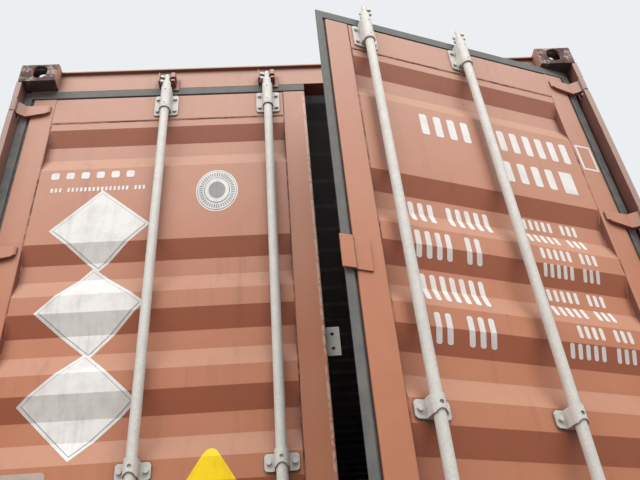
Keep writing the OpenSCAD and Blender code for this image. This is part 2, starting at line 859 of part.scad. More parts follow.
// Ribs as one row of trapezoids in X and Z, standing on z = low.
module rib_row(low, height, widen) {
    count = floor(2 * casting_inner_x / rib_pitch);
    base = rib_top / 2 + rib_slope + widen;
    for (i = [0:count - 1]) translate([(i - (count - 1) / 2) * rib_pitch, low])
        polygon([[-base, 0], [base, 0], [base - rib_slope, height], [rib_slope - base, height]]);
}

module rib_solids(low, height, widen) {
    half = rail_outer_y - top_rail_size - rib_end_margin + widen;
    intersection() {
        along_y(0, 2 * half) rib_row(low, height, widen);
        along_x(-casting_inner_x, 2 * casting_inner_x) translate([0, low])
            polygon([[-half, 0], [half, 0], [half - rib_slope, height], [rib_slope - half, height]]);
    }
}

module roof_panels() {
    edge = rail_outer_y - top_rail_wall;
    color(paint) difference() {
        union() {
            block([-casting_inner_x, -edge, rail_top], [casting_inner_x, edge, roof_low]);
            rib_solids(roof_low, rib_height, 0);
        }
        rib_solids(rail_top, rib_height, 0);
    }
}

module roof_corner_plates() {
    door_top_z = box_height - header_top_drop;
    blind_top_z = rail_top + roof_sheet;
    color(paint) both_sides() {
        block([end_x - frame_back, casting_inner_y - corner_plate_length, door_top_z],
            [end_x - frame_setback, casting_inner_y, door_top_z + corner_plate_thickness]);
        block([front_face_x, casting_inner_y - corner_plate_length, blind_top_z],
            [-casting_inner_x, casting_inner_y, blind_top_z + corner_plate_thickness]);
    }
}

// Cover that fills a recess of the side wall, with slots along its lower edge.
module ventilator() {
    depth = side_wall_depth - wall_sheet;
    inner = side_wall_face / 2 - ventilator_clearance;
    outer = inner + side_wall_slope * depth / side_wall_depth;
    slot = ventilator_slot;
    difference() {
        linear_extrude(ventilator_height)
            polygon([[-inner, -side_wall_depth], [inner, -side_wall_depth], [outer, -wall_sheet],
                [-outer, -wall_sheet]]);
        for (i = [1:ventilator_slots])
            block([-inner, -side_wall_depth / 2, slot * (2 * i - 1)], [inner, past, slot * 2 * i]);
    }
}

module ventilators() {
    x = side_run / 2 - side_wall_slope - side_wall_face / 2 - (ventilator_recess - 1) * side_pitch;
    z = box_height - ventilator_drop - ventilator_height;
    color(grey_plastic) {
        translate([x, wall_outer_y, z]) ventilator();
        mirror([1, 0, 0]) mirror([0, 1, 0]) translate([x, wall_outer_y, z]) ventilator();
    }
}

tunnel_end = -end_x + tunnel_length;

// Outline of a crossmember in X and Z, its web at x = 0.
module crossmember_outline() {
    translate([0, crossmember_bottom]) square([crossmember_wall, crossmember_height]);
    for (z = [crossmember_bottom, floor_bottom - crossmember_wall])
        translate([0, z]) square([crossmember_flange, crossmember_wall]);
}

module crossmembers() {
    first = tunnel_end + tunnel_wall;
    last = casting_inner_x - crossmember_flange;
    step = (last - first) / crossmember_spaces;
    inner = tunnel_width / 2 + tunnel_wall;
    short_first = -casting_inner_x + crossmember_flange;
    short_step = (tunnel_end - crossmember_flange - short_first) / outrigger_count;
    color(paint) {
        for (i = [0:crossmember_spaces - 1])
            translate([first + i * step, 0, 0]) along_y(0, 2 * rail_web_y) crossmember_outline();
        for (i = [0:outrigger_count - 1], side = [-1, 1])
            translate([short_first + i * short_step, 0, 0])
                along_y(side * (inner + rail_web_y) / 2, rail_web_y - inner) crossmember_outline();
    }
}

module gooseneck_tunnel() {
    half = tunnel_width / 2;
    bow_height = floor_bottom - tunnel_height - tunnel_wall;
    start = front_face_x;
    step = (tunnel_end - start - crossmember_flange) / outrigger_count;
    color(paint) {
        along_x(start, tunnel_end - start) difference() {
            translate([-half - tunnel_wall, rail_clearance])
                square([2 * (half + tunnel_wall), tunnel_height + tunnel_wall - rail_clearance]);
            translate([-half, rail_clearance - past])
                square([2 * half, tunnel_height - rail_clearance + past]);
        }
        block([tunnel_end, -half - tunnel_wall, rail_clearance],
            [tunnel_end + tunnel_wall, half + tunnel_wall, floor_bottom]);
        for (i = [1:outrigger_count])
            block([start + i * step, -half - tunnel_wall, tunnel_height + tunnel_wall],
                [start + i * step + crossmember_flange, half + tunnel_wall,
                    tunnel_height + tunnel_wall + bow_height]);
    }
}

floor_start = front_face_x + front_sill_flange;
floor_end = end_x - frame_back;

module floor_boards() {
    length = (floor_end - floor_start + board_gap) / board_count;
    inner = centre_rail_width / 2;
    outer = side_y - post_setback - front_post_lip - board_gap;
    color(board) both_sides() for (i = [0:board_count - 1])
        block([floor_start + i * length, inner, floor_bottom],
            [floor_start + (i + 1) * length - board_gap, outer, floor_top]);
}

module floor_centre_rail() {
    half = centre_rail_width / 2;
    color(paint) {
        block([floor_start, -half, floor_top - centre_rail_thickness], [floor_end, half, floor_top]);
        for (y = [-half, half - centre_rail_thickness])
            block([floor_start, y, floor_bottom],
                [floor_end, y + centre_rail_thickness, floor_top - centre_rail_thickness]);
    }
}

// The door pieces below are drawn for a closed left door.
// Its free edge is at y = edge, and its hinge side at y = -door_side_y.
module door_frame(edge) {
    inner = -door_side_y + stile_width;
    for (from = [-door_side_y, edge - stile_width])
        translate([0, 0, door_bottom]) linear_extrude(door_top - door_bottom)
            tube_outline([door_back_x, from], [door_face_x, from + stile_width]);
    for (z = [door_bottom, door_top - door_rail_height])
        along_y((inner + edge - stile_width) / 2, edge - stile_width - inner)
            tube_outline([door_back_x, z], [door_face_x, z + door_rail_height]);
}

module tube_outline(from, to) {
    inner = door_tube_radius - door_tube_wall;
    difference() {
        round_rectangle(from, to, door_tube_radius);
        round_rectangle([from[0] + door_tube_wall, from[1] + door_tube_wall],
            [to[0] - door_tube_wall, to[1] - door_tube_wall], inner);
    }
}

module left_door_frame() {
    color(paint) door_frame(left_edge);
}

module right_door_frame() {
    color(paint) right_leaf() door_frame(-right_edge);
}

// Depths of the recesses' tops below the panel's upper end.
function door_recess_starts() = concat(
    [door_panel_margin],
    [for (i = [2:last_recess]) door_panel_margin + i * door_pitch]
);

module door_panel(edge) {
    from = -door_side_y + stile_width;
    to = edge - stile_width;
    top = door_top - door_rail_height;
    height = top - door_bottom - door_rail_height;
    color(paint) along_y((from + to) / 2, to - from)
        translate([door_face_x - door_tube_wall + wall_sheet / 2, top])
            rotate([0, 0, -90]) mirror([0, 1])
                wavy_sheet(0, height, door_recess_starts(), door_panel_slope, door_panel_face,
                    door_panel_depth, wall_sheet);
}

module left_door_panel() {
    door_panel(left_edge);
}

module right_door_panel() {
    right_leaf() door_panel(-right_edge);
}

// Frame round a door, which reaches past its hinge side, its free edge and its ends.
module gasket_frame(edge, side, free, ends, front, back) {
    difference() {
        block([back, -door_side_y - side, door_bottom - ends], [front, edge + free, door_top + ends]);
        block([back - past, -door_side_y, door_bottom], [front + past, edge, door_top]);
    }
}

// Gasket round a door: a web on the door's edges, a back lip, and a front lip behind a groove.
module door_gasket(edge, free) {
    side = post_return_y - gasket_gap - door_side_y;
    front = door_face_x - gasket_setback;
    back = door_back_x + gasket_setback;
    wall = gasket_groove + gasket_lip;
    color(dark_rubber) difference() {
        union() {
            gasket_frame(edge, side, free, door_end_gap - gasket_gap, front, front - gasket_lip);
            gasket_frame(edge, wall, min(wall, free), wall, front, front - wall);
            gasket_frame(edge, gasket_web, min(gasket_web, free), gasket_web, front, back);
            gasket_frame(edge, side, 0, gasket_web, back + gasket_lip, back);
        }
        block([front - gasket_groove, -door_side_y - gasket_groove, door_bottom - gasket_groove],
            [front + past, edge + max(past, min(gasket_groove, free)), door_top + gasket_groove]);
    }
}

module left_door_gasket() {
    door_gasket(left_edge, 0);
}

module right_door_gasket() {
    right_leaf() door_gasket(-right_edge, seam_width - seam_gap);
}

// Plan of a hinge blade around the hinge axis: knuckle, offset and flat.
module blade_plan() {
    half = blade_thickness * sin(45);
    front = -(door_setback - blade_thickness - hinge_inset);
    back = -(door_setback - hinge_inset);
    circle(knuckle_radius);
    polygon([[-half / 2, -half / 2], [half / 2, half / 2], [front, half - front],
        [front, blade_reach - blade_thickness / 2], [front - blade_thickness / 2, blade_reach],
        [back, blade_reach], [back, -half - back]]);
}

module hinge_blade(z) {
    low = -knuckle_height / 2;
    high = knuckle_height / 2;
    translate([hinge_x, -hinge_y, z]) difference() {
        intersection() {
            translate([0, 0, low]) linear_extrude(knuckle_height) blade_plan();
            along_x(-2 * door_setback, 3 * door_setback)
                polygon([[-knuckle_radius - past, low], [door_hinge_gap / 2, low],
                    [blade_reach - blade_corner, high - blade_tip_height],
                    [blade_reach + past, high - blade_tip_height + blade_corner],
                    [blade_reach + past, high], [-knuckle_radius - past, high]]);
        }
        translate([0, 0, low - past])
            cylinder(r = hinge_pin_radius + pin_clearance, h = knuckle_height + 2 * past);
    }
}

module left_door_hinges() {
    color(paint) for (z = hinge_heights()) hinge_blade(z);
}

module right_door_hinges() {
    color(paint) right_leaf() for (z = hinge_heights()) hinge_blade(z);
}

// Housing around a bar: a block behind the axis and a half round in front of it.
module housing_plan() {
    half = housing_width / 2;
    difference() {
        union() {
            translate([bar_setback - door_setback, -half])
                square([door_setback - bar_setback, housing_width]);
            circle(half);
        }
        circle(bar_radius + bar_clearance);
    }
}

module bracket_bolts(width, rows) {
    for (y = [-width / 2 + bolt_inset, width / 2 - bolt_inset], z = rows)
        translate([bar_setback - door_setback + bracket_plate, y, z]) rotate([0, 90, 0])
            cylinder(r = bolt_head_radius, h = bolt_head_height);
}

module bracket_plate_solid(width, from, to) {
    along_x(bar_setback - door_setback, bracket_plate)
        round_rectangle([-width / 2, from], [width / 2, to], bracket_corner);
}

// Bearing bracket at the top of a bar's axis, its plate's top at z = 0.
module bearing_bracket() {
    rise = bracket_inset + housing_rise;
    difference() {
        union() {
            bracket_plate_solid(bracket_width, -bracket_height, 0);
            bracket_bolts(bracket_width,
                [-bolt_inset - bracket_corner, -bracket_height + bolt_inset + bracket_corner]);
        }
        translate([0, 0, -bracket_height - past])
            cylinder(r = bar_radius + bar_clearance, h = bracket_height + 2 * past);
    }
    translate([0, 0, -bracket_height + bolt_inset]) difference() {
        linear_extrude(bracket_height - bolt_inset + rise) housing_plan();
        for (z = [bolt_inset, bracket_height - 2 * bolt_inset])
            translate([0, 0, z]) rotate([0, 90, 0]) cylinder(r = rivet_radius, h = housing_width);
    }
}

// Guide bracket part way up a bar, centred on z = 0, with an arched lower edge.
module guide_bracket() {
    half = guide_height / 2;
    difference() {
        union() {
            bracket_plate_solid(guide_width, -half, half);
            translate([0, 0, -half]) linear_extrude(guide_height) housing_plan();
            bracket_bolts(guide_width, [0]);
        }
        translate([0, 0, -half - guide_arch / 2]) rotate([0, 90, 0])
            cylinder(r = guide_arch, h = housing_width);
        rotate([0, 90, 0]) cylinder(r = guide_hole_radius, h = housing_width);
    }
}

module bar_brackets(edge) {
    guide_z = first_recess - last_recess * door_pitch + guide_rise;
    color(zinc) for (inset = [inner_bar_inset, outer_bar_inset])
        translate([bar_x, edge - inset, 0]) {
            translate([0, 0, door_top - bracket_inset]) bearing_bracket();
            translate([0, 0, door_bottom + bracket_inset]) mirror([0, 0, 1]) bearing_bracket();
            translate([0, 0, guide_z]) guide_bracket();
        }
}

module left_bar_brackets() {
    bar_brackets(left_edge);
}

module right_bar_brackets() {
    right_leaf() bar_brackets(-right_edge);
}

// Cam on the end of a bar: a neck, a core and two hooks that reach behind the keeper.
module cam(z, neck_end) {
    hook_low = z - cam_height / 2;
    neck_height = abs(neck_end - z) - cam_height / 2;
    translate([0, 0, neck_end]) mirror([0, 0, neck_end < z ? 0 : 1]) {
        cylinder(r = cam_neck_radius, h = neck_height - cam_shoulder);
        translate([0, 0, neck_height - cam_shoulder])
            cylinder(r1 = cam_neck_radius, r2 = cam_core_radius, h = cam_shoulder);
    }
    translate([0, 0, hook_low]) cylinder(r = cam_core_radius, h = cam_height);
    for (from = [hook_low, hook_low + cam_height - hook_height])
        translate([0, 0, from]) linear_extrude(hook_height) {
            ring_sector(hook_radius - hook_thickness, hook_radius, hook_from, hook_to);
            ring_sector(cam_core_radius / 2, hook_radius, hook_from, arm_to);
        }
}

// Locking bar around the Z axis: tube, collars and the cams at both ends.
module locking_bar() {
    housing_top = door_top + housing_rise;
    housing_low = door_bottom - housing_rise;
    collar_high = door_top - bracket_inset - bracket_height + bolt_inset - collar_gap;
    collar_low = door_bottom + bracket_inset + bracket_height - bolt_inset + collar_gap;
    translate([0, 0, housing_low - lug_gap]) difference() {
        cylinder(r = bar_radius, h = housing_top - housing_low + 2 * lug_gap);
        translate([0, 0, bar_wall]) cylinder(r = bar_radius - bar_wall,
            h = housing_top - housing_low + 2 * lug_gap - 2 * bar_wall);
    }
    for (z = [collar_high - collar_height, collar_low]) translate([0, 0, z])
        difference() {
            cylinder(r = collar_radius, h = collar_height);
            translate([0, 0, -past]) cylinder(r = bar_radius - bar_wall / 2, h = collar_height + 2 * past);
        }
    cam(door_top + top_cam_rise, housing_top + lug_gap);
    cam(door_bottom - bottom_cam_drop, housing_low - lug_gap);
}

module bar_of(edge, inset) {
    color(zinc) translate([bar_x, edge - inset, 0]) locking_bar();
}

module left_outer_bar() {
    bar_of(left_edge, outer_bar_inset);
}

module left_inner_bar() {
    bar_of(left_edge, inner_bar_inset);
}

module right_inner_bar() {
    right_leaf() bar_of(-right_edge, inner_bar_inset);
}

module right_outer_bar() {
    right_leaf() bar_of(-right_edge, outer_bar_inset);
}

// Handle around the Z axis: a hub on the bar, an offset and a flat bar towards -Y.
module handle_plan() {
    middle = bar_setback - handle_setback;
    half = handle_thickness / 2;
    start = -handle_offset_length;
    polygon([[half, -hub_radius / 2], [-half, -hub_radius / 2], [middle - half, start],
        [middle - half, -handle_length], [middle + half, -handle_length], [middle + half, start]]);
}

module handle_shape() {
    half = handle_bar_height / 2;
    difference() {
        union() {
            translate([0, 0, -hub_height / 2]) cylinder(r = hub_radius, h = hub_height);
            translate([0, 0, -half]) linear_extrude(handle_bar_height) handle_plan();
            translate([0, -hub_radius, 0]) rotate([0, -90, 0])
                translate([0, 0, -handle_thickness])
                    cylinder(r = hub_rivet_radius, h = 2 * handle_thickness);
        }
        translate([0, 0, -hub_height]) cylinder(r = bar_radius, h = 2 * hub_height);
        translate([bar_setback - handle_setback, -handle_length + handle_bar_height / 2, 0])
            rotate([0, 90, 0]) translate([0, 0, -handle_thickness])
                cylinder(r = seal_hole_radius, h = 2 * handle_thickness);
    }
}

module handle_of(edge, inset) {
    color(zinc) translate([bar_x, edge - inset, handle_height]) handle_shape();
}

module left_outer_handle() {
    handle_of(left_edge, outer_bar_inset);
}

module left_inner_handle() {
    handle_of(left_edge, inner_bar_inset);
}

module right_inner_handle() {
    right_leaf() handle_of(-right_edge, inner_bar_inset);
}

module right_outer_handle() {
    right_leaf() handle_of(-right_edge, outer_bar_inset);
}

// Retainer behind a handle: a plate on the panel, a shelf below and a seal lug above.
module handle_retainer() {
    panel_x = door_face_x - door_tube_wall + wall_sheet / 2;
    back = panel_x - bar_x;
    half = retainer_width / 2;
    shelf_reach = bar_setback - handle_setback + handle_thickness / 2;
    low = -handle_bar_height / 2 - retainer_gap - retainer_plate;
    high = handle_bar_height / 2 + retainer_gap;
    translate([0, -retainer_distance, 0]) {
        block([back, -half, -retainer_height / 2], [back + retainer_plate, half, retainer_height / 2]);
        block([back, -half, low], [shelf_reach, half, low + retainer_plate]);
        difference() {
            block([back, -retainer_plate / 2, high], [shelf_reach, retainer_plate / 2,
                retainer_height / 2]);
            translate([(back + retainer_plate + shelf_reach) / 2, 0, (high + retainer_height / 2) / 2])
                rotate([90, 0, 0]) translate([0, 0, -retainer_plate])
                    cylinder(r = seal_hole_radius, h = 2 * retainer_plate);
        }
    }
}

module handle_retainers(edge) {
    color(zinc) for (inset = [inner_bar_inset, outer_bar_inset])
        translate([bar_x, edge - inset, handle_height]) handle_retainer();
}

module left_handle_retainers() {
    handle_retainers(left_edge);
}

module right_handle_retainers() {
    right_leaf() handle_retainers(-right_edge);
}

// Plate welded to the back of the left door's edge, which the right door covers.
module left_catch_plate() {
    front = door_back_x - catch_setback;
    root = left_edge - stile_width / 2;
    low = catch_middle - catch_height / 2;
    color(zinc) {
        difference() {
            block([front - seam_plate, root, low],
                [front, left_edge + catch_reach, low + catch_height]);
            for (z = [catch_middle - catch_height / 4, catch_middle + catch_height / 4])
                translate([front - seam_plate - past, left_edge + catch_reach / 2, z])
                    rotate([0, 90, 0]) cylinder(r = catch_hole_radius, h = seam_plate + 2 * past);
        }
        block([front, root, low], [door_back_x, left_edge - door_tube_radius, low + catch_height]);
    }
}

// Bent plate on the right door's edge: flat on the stile, and stepped over the left door.
module right_overlap_plate() {
    edge = -right_edge;
    step = overlap_gap;
    tip = edge + seam_width + overlap_reach;
    root = tip - overlap_width;
    bend = edge + overlap_gap;
    color(paint) right_leaf() translate([door_face_x, 0, overlap_middle - overlap_height / 2])
        linear_extrude(overlap_height)
            polygon([[0, root], [seam_plate, root], [seam_plate, bend - step],
                [seam_plate + step, bend], [seam_plate + step, tip], [step, tip], [step, bend + step],
                [0, bend - step]]);
}

corner_castings_top();
corner_castings_bottom();
door_header();
rain_gutter();
door_sill();
rear_posts();
hinge_lugs();
header_keepers();
sill_keepers();
front_posts();
front_top_rail();
front_sill();
front_wall();
top_side_rails();
bottom_side_rails();
left_side_wall();
right_side_wall();
roof_panels();
roof_corner_plates();
ventilators();
crossmembers();
gooseneck_tunnel();
floor_boards();
floor_centre_rail();
left_door_frame();
left_door_panel();
left_door_gasket();
left_door_hinges();
left_bar_brackets();
left_handle_retainers();
left_catch_plate();
right_door_frame();
right_door_panel();
right_door_gasket();
right_door_hinges();
right_bar_brackets();
right_handle_retainers();
right_overlap_plate();
left_outer_bar();
left_inner_bar();
right_inner_bar();
right_outer_bar();
left_outer_handle();
left_inner_handle();
right_inner_handle();
right_outer_handle();
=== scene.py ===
"""Dresses a packed freight container in paint, zinc and rubber, lays plain markings on its doors,
and sets the stage and the camera."""

import json
import math

import bpy
import numpy as np
from bpy.props import FloatProperty, FloatVectorProperty, IntProperty, PointerProperty
from bpy.types import Operator, Panel, PropertyGroup
from mathutils import Matrix, Vector

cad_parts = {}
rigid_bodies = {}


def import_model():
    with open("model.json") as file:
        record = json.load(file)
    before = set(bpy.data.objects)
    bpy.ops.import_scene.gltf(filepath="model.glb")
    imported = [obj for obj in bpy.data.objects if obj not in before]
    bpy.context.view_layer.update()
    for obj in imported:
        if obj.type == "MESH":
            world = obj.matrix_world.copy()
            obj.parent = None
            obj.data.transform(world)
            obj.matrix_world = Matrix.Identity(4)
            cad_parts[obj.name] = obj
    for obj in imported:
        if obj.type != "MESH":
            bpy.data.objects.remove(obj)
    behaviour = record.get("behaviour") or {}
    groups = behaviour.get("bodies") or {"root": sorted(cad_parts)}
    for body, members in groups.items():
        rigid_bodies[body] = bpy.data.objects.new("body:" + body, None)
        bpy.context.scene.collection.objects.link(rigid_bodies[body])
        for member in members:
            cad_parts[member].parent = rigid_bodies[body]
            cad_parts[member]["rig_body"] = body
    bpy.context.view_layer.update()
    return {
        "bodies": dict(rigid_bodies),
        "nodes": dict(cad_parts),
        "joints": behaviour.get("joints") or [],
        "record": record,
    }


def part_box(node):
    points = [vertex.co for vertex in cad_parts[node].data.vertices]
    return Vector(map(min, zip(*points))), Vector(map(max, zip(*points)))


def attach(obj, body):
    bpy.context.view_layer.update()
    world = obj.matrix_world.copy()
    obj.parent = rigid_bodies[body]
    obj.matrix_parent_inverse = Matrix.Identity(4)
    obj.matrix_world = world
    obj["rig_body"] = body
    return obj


bl_info = {
    "name": "Freight container dressing",
    "version": (1, 0, 0),
    "blender": (4, 5, 0),
    "location": "3D View > Sidebar > Container",
    "description": "Weathered paint, bar gear, gaskets, markings and a studio for a packed container",
    "category": "Object",
}

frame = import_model()
RIGHT_HINGE = next(joint for joint in frame["joints"] if joint["name"] == "right_door_hinge")
RIGHT_BODIES = [name for name in frame["bodies"] if name.startswith("right_")]


def length(label, text, value):
    """A property that holds a length in metres."""
    return FloatProperty(name=label, description=text, default=value, unit="LENGTH", precision=4)


def lengths(label, text, value):
    """A property that holds several lengths in metres."""
    return FloatVectorProperty(
        name=label, description=text, default=value, size=len(value), unit="LENGTH", precision=4)


def colour(label, text, value):
    """A property that holds a colour."""
    return FloatVectorProperty(
        name=label, description=text, default=value, subtype="COLOR", min=0, max=1)


def share(label, text, value):
    """A property that holds a share from 0 to 1."""
    return FloatProperty(
        name=label, description=text, default=value, min=0, max=1, subtype="FACTOR")


class DoorForm(PropertyGroup):
    """Form of the two doors, which everything laid on them follows."""

    front: length("Panel front", "Place of the panels' flats along the container", 6.0358)
    depth: length("Recess depth", "Depth of the panels' recesses", 0.028)
    slope: length("Recess slope", "Height of a recess's slope", 0.076)
    face: length("Recess face", "Height of a recess's bottom", 0.071)
    tops: lengths(
        "Recess tops", "Heights at which the recesses begin, from the top down",
        (2.224, 1.636, 1.342, 1.048, 0.754))
    panel_low: length("Panel bottom", "Height of the panels' lower edge", 0.366)
    panel_high: length("Panel top", "Height of the panels' upper edge", 2.264)
    left_inner: length("Left panel, seam side", "Edge of the left panel at the seam", -0.094)
    left_outer: length("Left panel, hinge side", "Edge of the left panel at its hinges", -1.054)
    right_inner: length("Right panel, seam side", "Edge of the right panel at the seam", 0.137)
    right_outer: length("Right panel, hinge side", "Edge of the right panel at its hinges", 1.054)


class ShellForm(PropertyGroup):
    """Limits between which the paint changes: distances from the container's middle, and heights."""

    doors: length("Door end", "Distance at which the door end begins", 5.97)
    walls: length("Inner walls", "Distance at which the inside of the walls and roof ends", 5.96)
    ends: length("Inner ends", "Distance at which the inside of the two ends begins", 5.94)
    width: length("Inner width", "Half of the width of the inside of the two ends", 1.150)
    floor: length("Inner floor", "Height at which the inner coat begins", 0.16)
    roof: length("Inner roof", "Height above which faces that look down are the roof's", 2.40)
    posts: length("Posts", "Distance across at which the door posts begin", 1.160)
    header: lengths("Header", "Heights between which the header's underside lies", (2.35, 2.52))
    lip: lengths("Lip", "Heights between which the left door's seam edge is chipped", (0.20, 2.38))


class PaintLook(PropertyGroup):
    """Colours and wear of the container's paint, and the colours painted as its shade."""

    base: colour("Paint", "Paint that has kept its colour", (0.43, 0.155, 0.076))
    faded: colour("Faded paint", "Paint bleached by the sun", (0.51, 0.215, 0.118))
    chalk: colour("Chalky paint", "Paint bleached pale towards the top", (0.45, 0.298, 0.245))
    # Painted shade: this darker colour stands in for the shade on faces that look down. On the weld
    # beads it darkens patches as dirt.
    underside_shade_and_dirt: colour("Painted shade and dirt", "Paint on faces that look down", (0.28, 0.060, 0.020))
    # Painted shade and dirt: this dark colour stands in for the shade in narrow gaps and under the
    # header, together with the dirt there.
    gap: colour("Shaded and stained gaps", "Paint darkened in narrow gaps by dirt and by painted shade", (0.14, 0.045, 0.038))
    dust: colour("Dust", "Dust on faces that look up", (0.47, 0.30, 0.21))
    # Grime also stands for painted shade in corners, where ambient occlusion lays it.
    grime: colour("Grime", "Run-off, and grime and painted shade in corners", (0.12, 0.065, 0.05))
    rust: colour("Rust", "Rust spots and worn edges", (0.10, 0.035, 0.022))
    edges: colour("Rubbed edges", "Paint rubbed pale along sharp edges", (0.58, 0.42, 0.36))
    post: colour("Worn posts", "Grey that shows through the posts' paint", (0.14, 0.17, 0.185))
    inner: colour("Inner coat", "Grey coat of the inside of walls, roof and doors", (0.50, 0.51, 0.55))
    spots: share("Rust spots", "Share of the paint that rust has reached", 0.16)
    runs: share("Run-off", "Strength of the run-off streaks", 0.35)


class SteelLook(PropertyGroup):
    """Colours of the bare and zinc-coated steel, and of the shade painted on them."""

    zinc: colour("Zinc coat", "Dull coat of the bars and brackets", (0.66, 0.635, 0.58))
    zinc_worn: colour("Worn zinc", "Greyer patches of the coat", (0.49, 0.49, 0.47))
    # Grime round bolts and collars, also painted as shade on faces that look down and in corners.
    zinc_grime_and_shade: colour("Gear grime and shade", "Grime and painted shade round fixings and under the gear", (0.13, 0.10, 0.08))
    casting: colour("Casting", "Painted steel of the corner castings", (0.125, 0.070, 0.064))
    casting_rust: colour("Casting rust", "Rust of the corner castings", (0.050, 0.027, 0.025))
    casting_bare: colour("Casting bare", "Rubbed and flaked places of the castings", (0.50, 0.39, 0.34))
    # Painted shade: the castings' faces that look down take this near-black colour in place of their
    # shade.
    casting_under_shade: colour("Casting underside", "Underside of the castings", (0.028, 0.018, 0.022))


class SoftLook(PropertyGroup):
    """Colours of the rubber, boards, plastic, marks and labels."""

    rubber: colour("Rubber", "Clean rubber", (0.070, 0.074, 0.074))
    rubber_dust: colour("Dusty rubber", "Rubber under dust", (0.175, 0.163, 0.145))
    board: colour("Floor board", "Worn plywood", (0.30, 0.17, 0.09))
    board_dark: colour("Dark grain", "Dark grain and dirt of the boards", (0.11, 0.06, 0.035))
    plastic: colour("Ventilator", "Grey plastic", (0.27, 0.27, 0.26))
    plastic_chalk: colour("Chalky plastic", "Plastic bleached by the sun", (0.42, 0.41, 0.39))
    # Dirt, also painted as shade in the ventilators' corners, where ambient occlusion lays it.
    plastic_grime_and_shade: colour("Plastic grime and shade", "Dirt and painted shade in the ventilators' corners", (0.07, 0.05, 0.04))
    mark_white: colour("White mark", "White of the plain marks", (0.74, 0.725, 0.70))
    mark_grey: colour("Grey mark", "Grey of the plain labels", (0.30, 0.30, 0.30))
    mark_film: colour("Faded film", "Small label that weather has faded", (0.46, 0.37, 0.31))
    mark_yellow: colour("Yellow mark", "Yellow of the plain label", (0.95, 0.66, 0.0))


class MarkForm(PropertyGroup):
    """Sizes of the marks and labels."""

    thickness: length("Thickness", "Thickness of one layer of a label", 0.0006)
    sink: length("Sink", "How far a mark's back lies in the paint", 0.0004)
    cell: length("Cell height", "Height of the larger marks' cells", 0.106)
    fill: share("Cell fill", "Share of a cell's pitch that is painted", 0.54)
    corner: length("Corner", "Corner radius of the cells and of the small label", 0.014)
    line: length("Line", "Width of the lines of an empty box", 0.009)
    stile: length("Stile step", "How far the stiles stand ahead of the flats", 0.0022)
    squares: lengths(
        "Squares", "Half diagonals of a square, of the line in it and of the line's inner edge",
        (0.182, 0.167, 0.164))
    oval: lengths("Oval", "Half of the oval's width and of its height", (0.080, 0.105))
    ticks: IntProperty(
        name="Ticks", description="Ticks in the ring of the oval mark", default=44, min=12, max=90)


class SeamForm(PropertyGroup):
    """Sizes of the weld beads round the door panels."""

    radius: length("Bead radius", "Radius of a weld bead", 0.0024)
    wobble: share("Wobble", "How much a bead's radius changes along it", 0.35)
    sides: IntProperty(name="Sides", description="Sides of a bead's profile", default=6, min=4, max=16)
    step: length("Step", "Distance between two profiles of a bead", 0.012)


class StageForm(PropertyGroup):
    """Floor, light and camera."""

    floor: colour("Floor", "Colour of the floor and backdrop", (0.84, 0.86, 0.88))
    bounce: colour("Bounce", "Colour that the floor gives back to the container", (0.30, 0.27, 0.25))
    radius: length("Floor radius", "Radius of the floor", 60.0)
    near: length("Floor in full", "Radius within which the floor is seen in full", 10.0)
    far: length("Floor's fade", "Radius at which the floor has dissolved into the backdrop", 26.0)
    key: FloatProperty(name="Key light", description="Power of the light above the doors", default=1080)
    end_lamp: lengths("End lights", "Width and depth of the lights above the two ends", (16.0, 5.0))
    roof_lamp: lengths("Roof light", "Width and depth of the light above the roof", (9.0, 9.0))
    fill: FloatProperty(name="Sky", description="Strength of the light all round", default=0.55)
    eye: lengths("Camera", "Place of the camera", (8.01558, -0.13097, 0.09376))
    ahead: FloatVectorProperty(
        name="View", description="Direction of the camera's view", size=3,
        default=(-0.79499, 0.05703, 0.60394))
    up: FloatVectorProperty(
        name="Upward", description="Direction that is up in the picture", size=3,
        default=(0.60640, 0.04782, 0.79372))
    lens: FloatProperty(name="Lens", description="Focal length in millimetres", default=38.516)
    sensor: FloatProperty(name="Sensor", description="Width of the sensor in millimetres", default=36)


class Channel:
    """An output of a shader node. Arithmetic on it adds Math nodes to the same nodes."""

    def __init__(self, nodes, socket):
        self.nodes = nodes
        self.socket = socket

    def maths(self, operation, *values, clamp=False):
        """A Math node beside this channel, with the given values or channels."""
        settings = {"operation": operation, "use_clamp": clamp}
        return self.nodes.add("ShaderNodeMath", settings, dict(enumerate(values)))

    def __add__(self, other):
        return self.maths("ADD", self, other)

    def __sub__(self, other):
        return self.maths("SUBTRACT", self, other)

    def __rsub__(self, other):
        return self.maths("SUBTRACT", other, self)

    def __mul__(self, other):
        return self.maths("MULTIPLY", self, other)

    def __neg__(self):
        return self.maths("MULTIPLY", self, -1)

    __radd__ = __add__
    __rmul__ = __mul__

    def ramp(self, low, high):
        """0 below low, 1 above high, and straight between them."""
        return self.maths("DIVIDE", self - low, high - low, clamp=True)

    def past(self, limit):
        """0 up to a limit, and 1 from a centimetre past it."""
        return self.ramp(limit, limit + 0.01)

    def size(self):
        """The channel without its sign."""
        return self.maths("ABSOLUTE", self)

    def most(self, other):
        """The larger of the channel and another."""
        return self.maths("MAXIMUM", self, other)


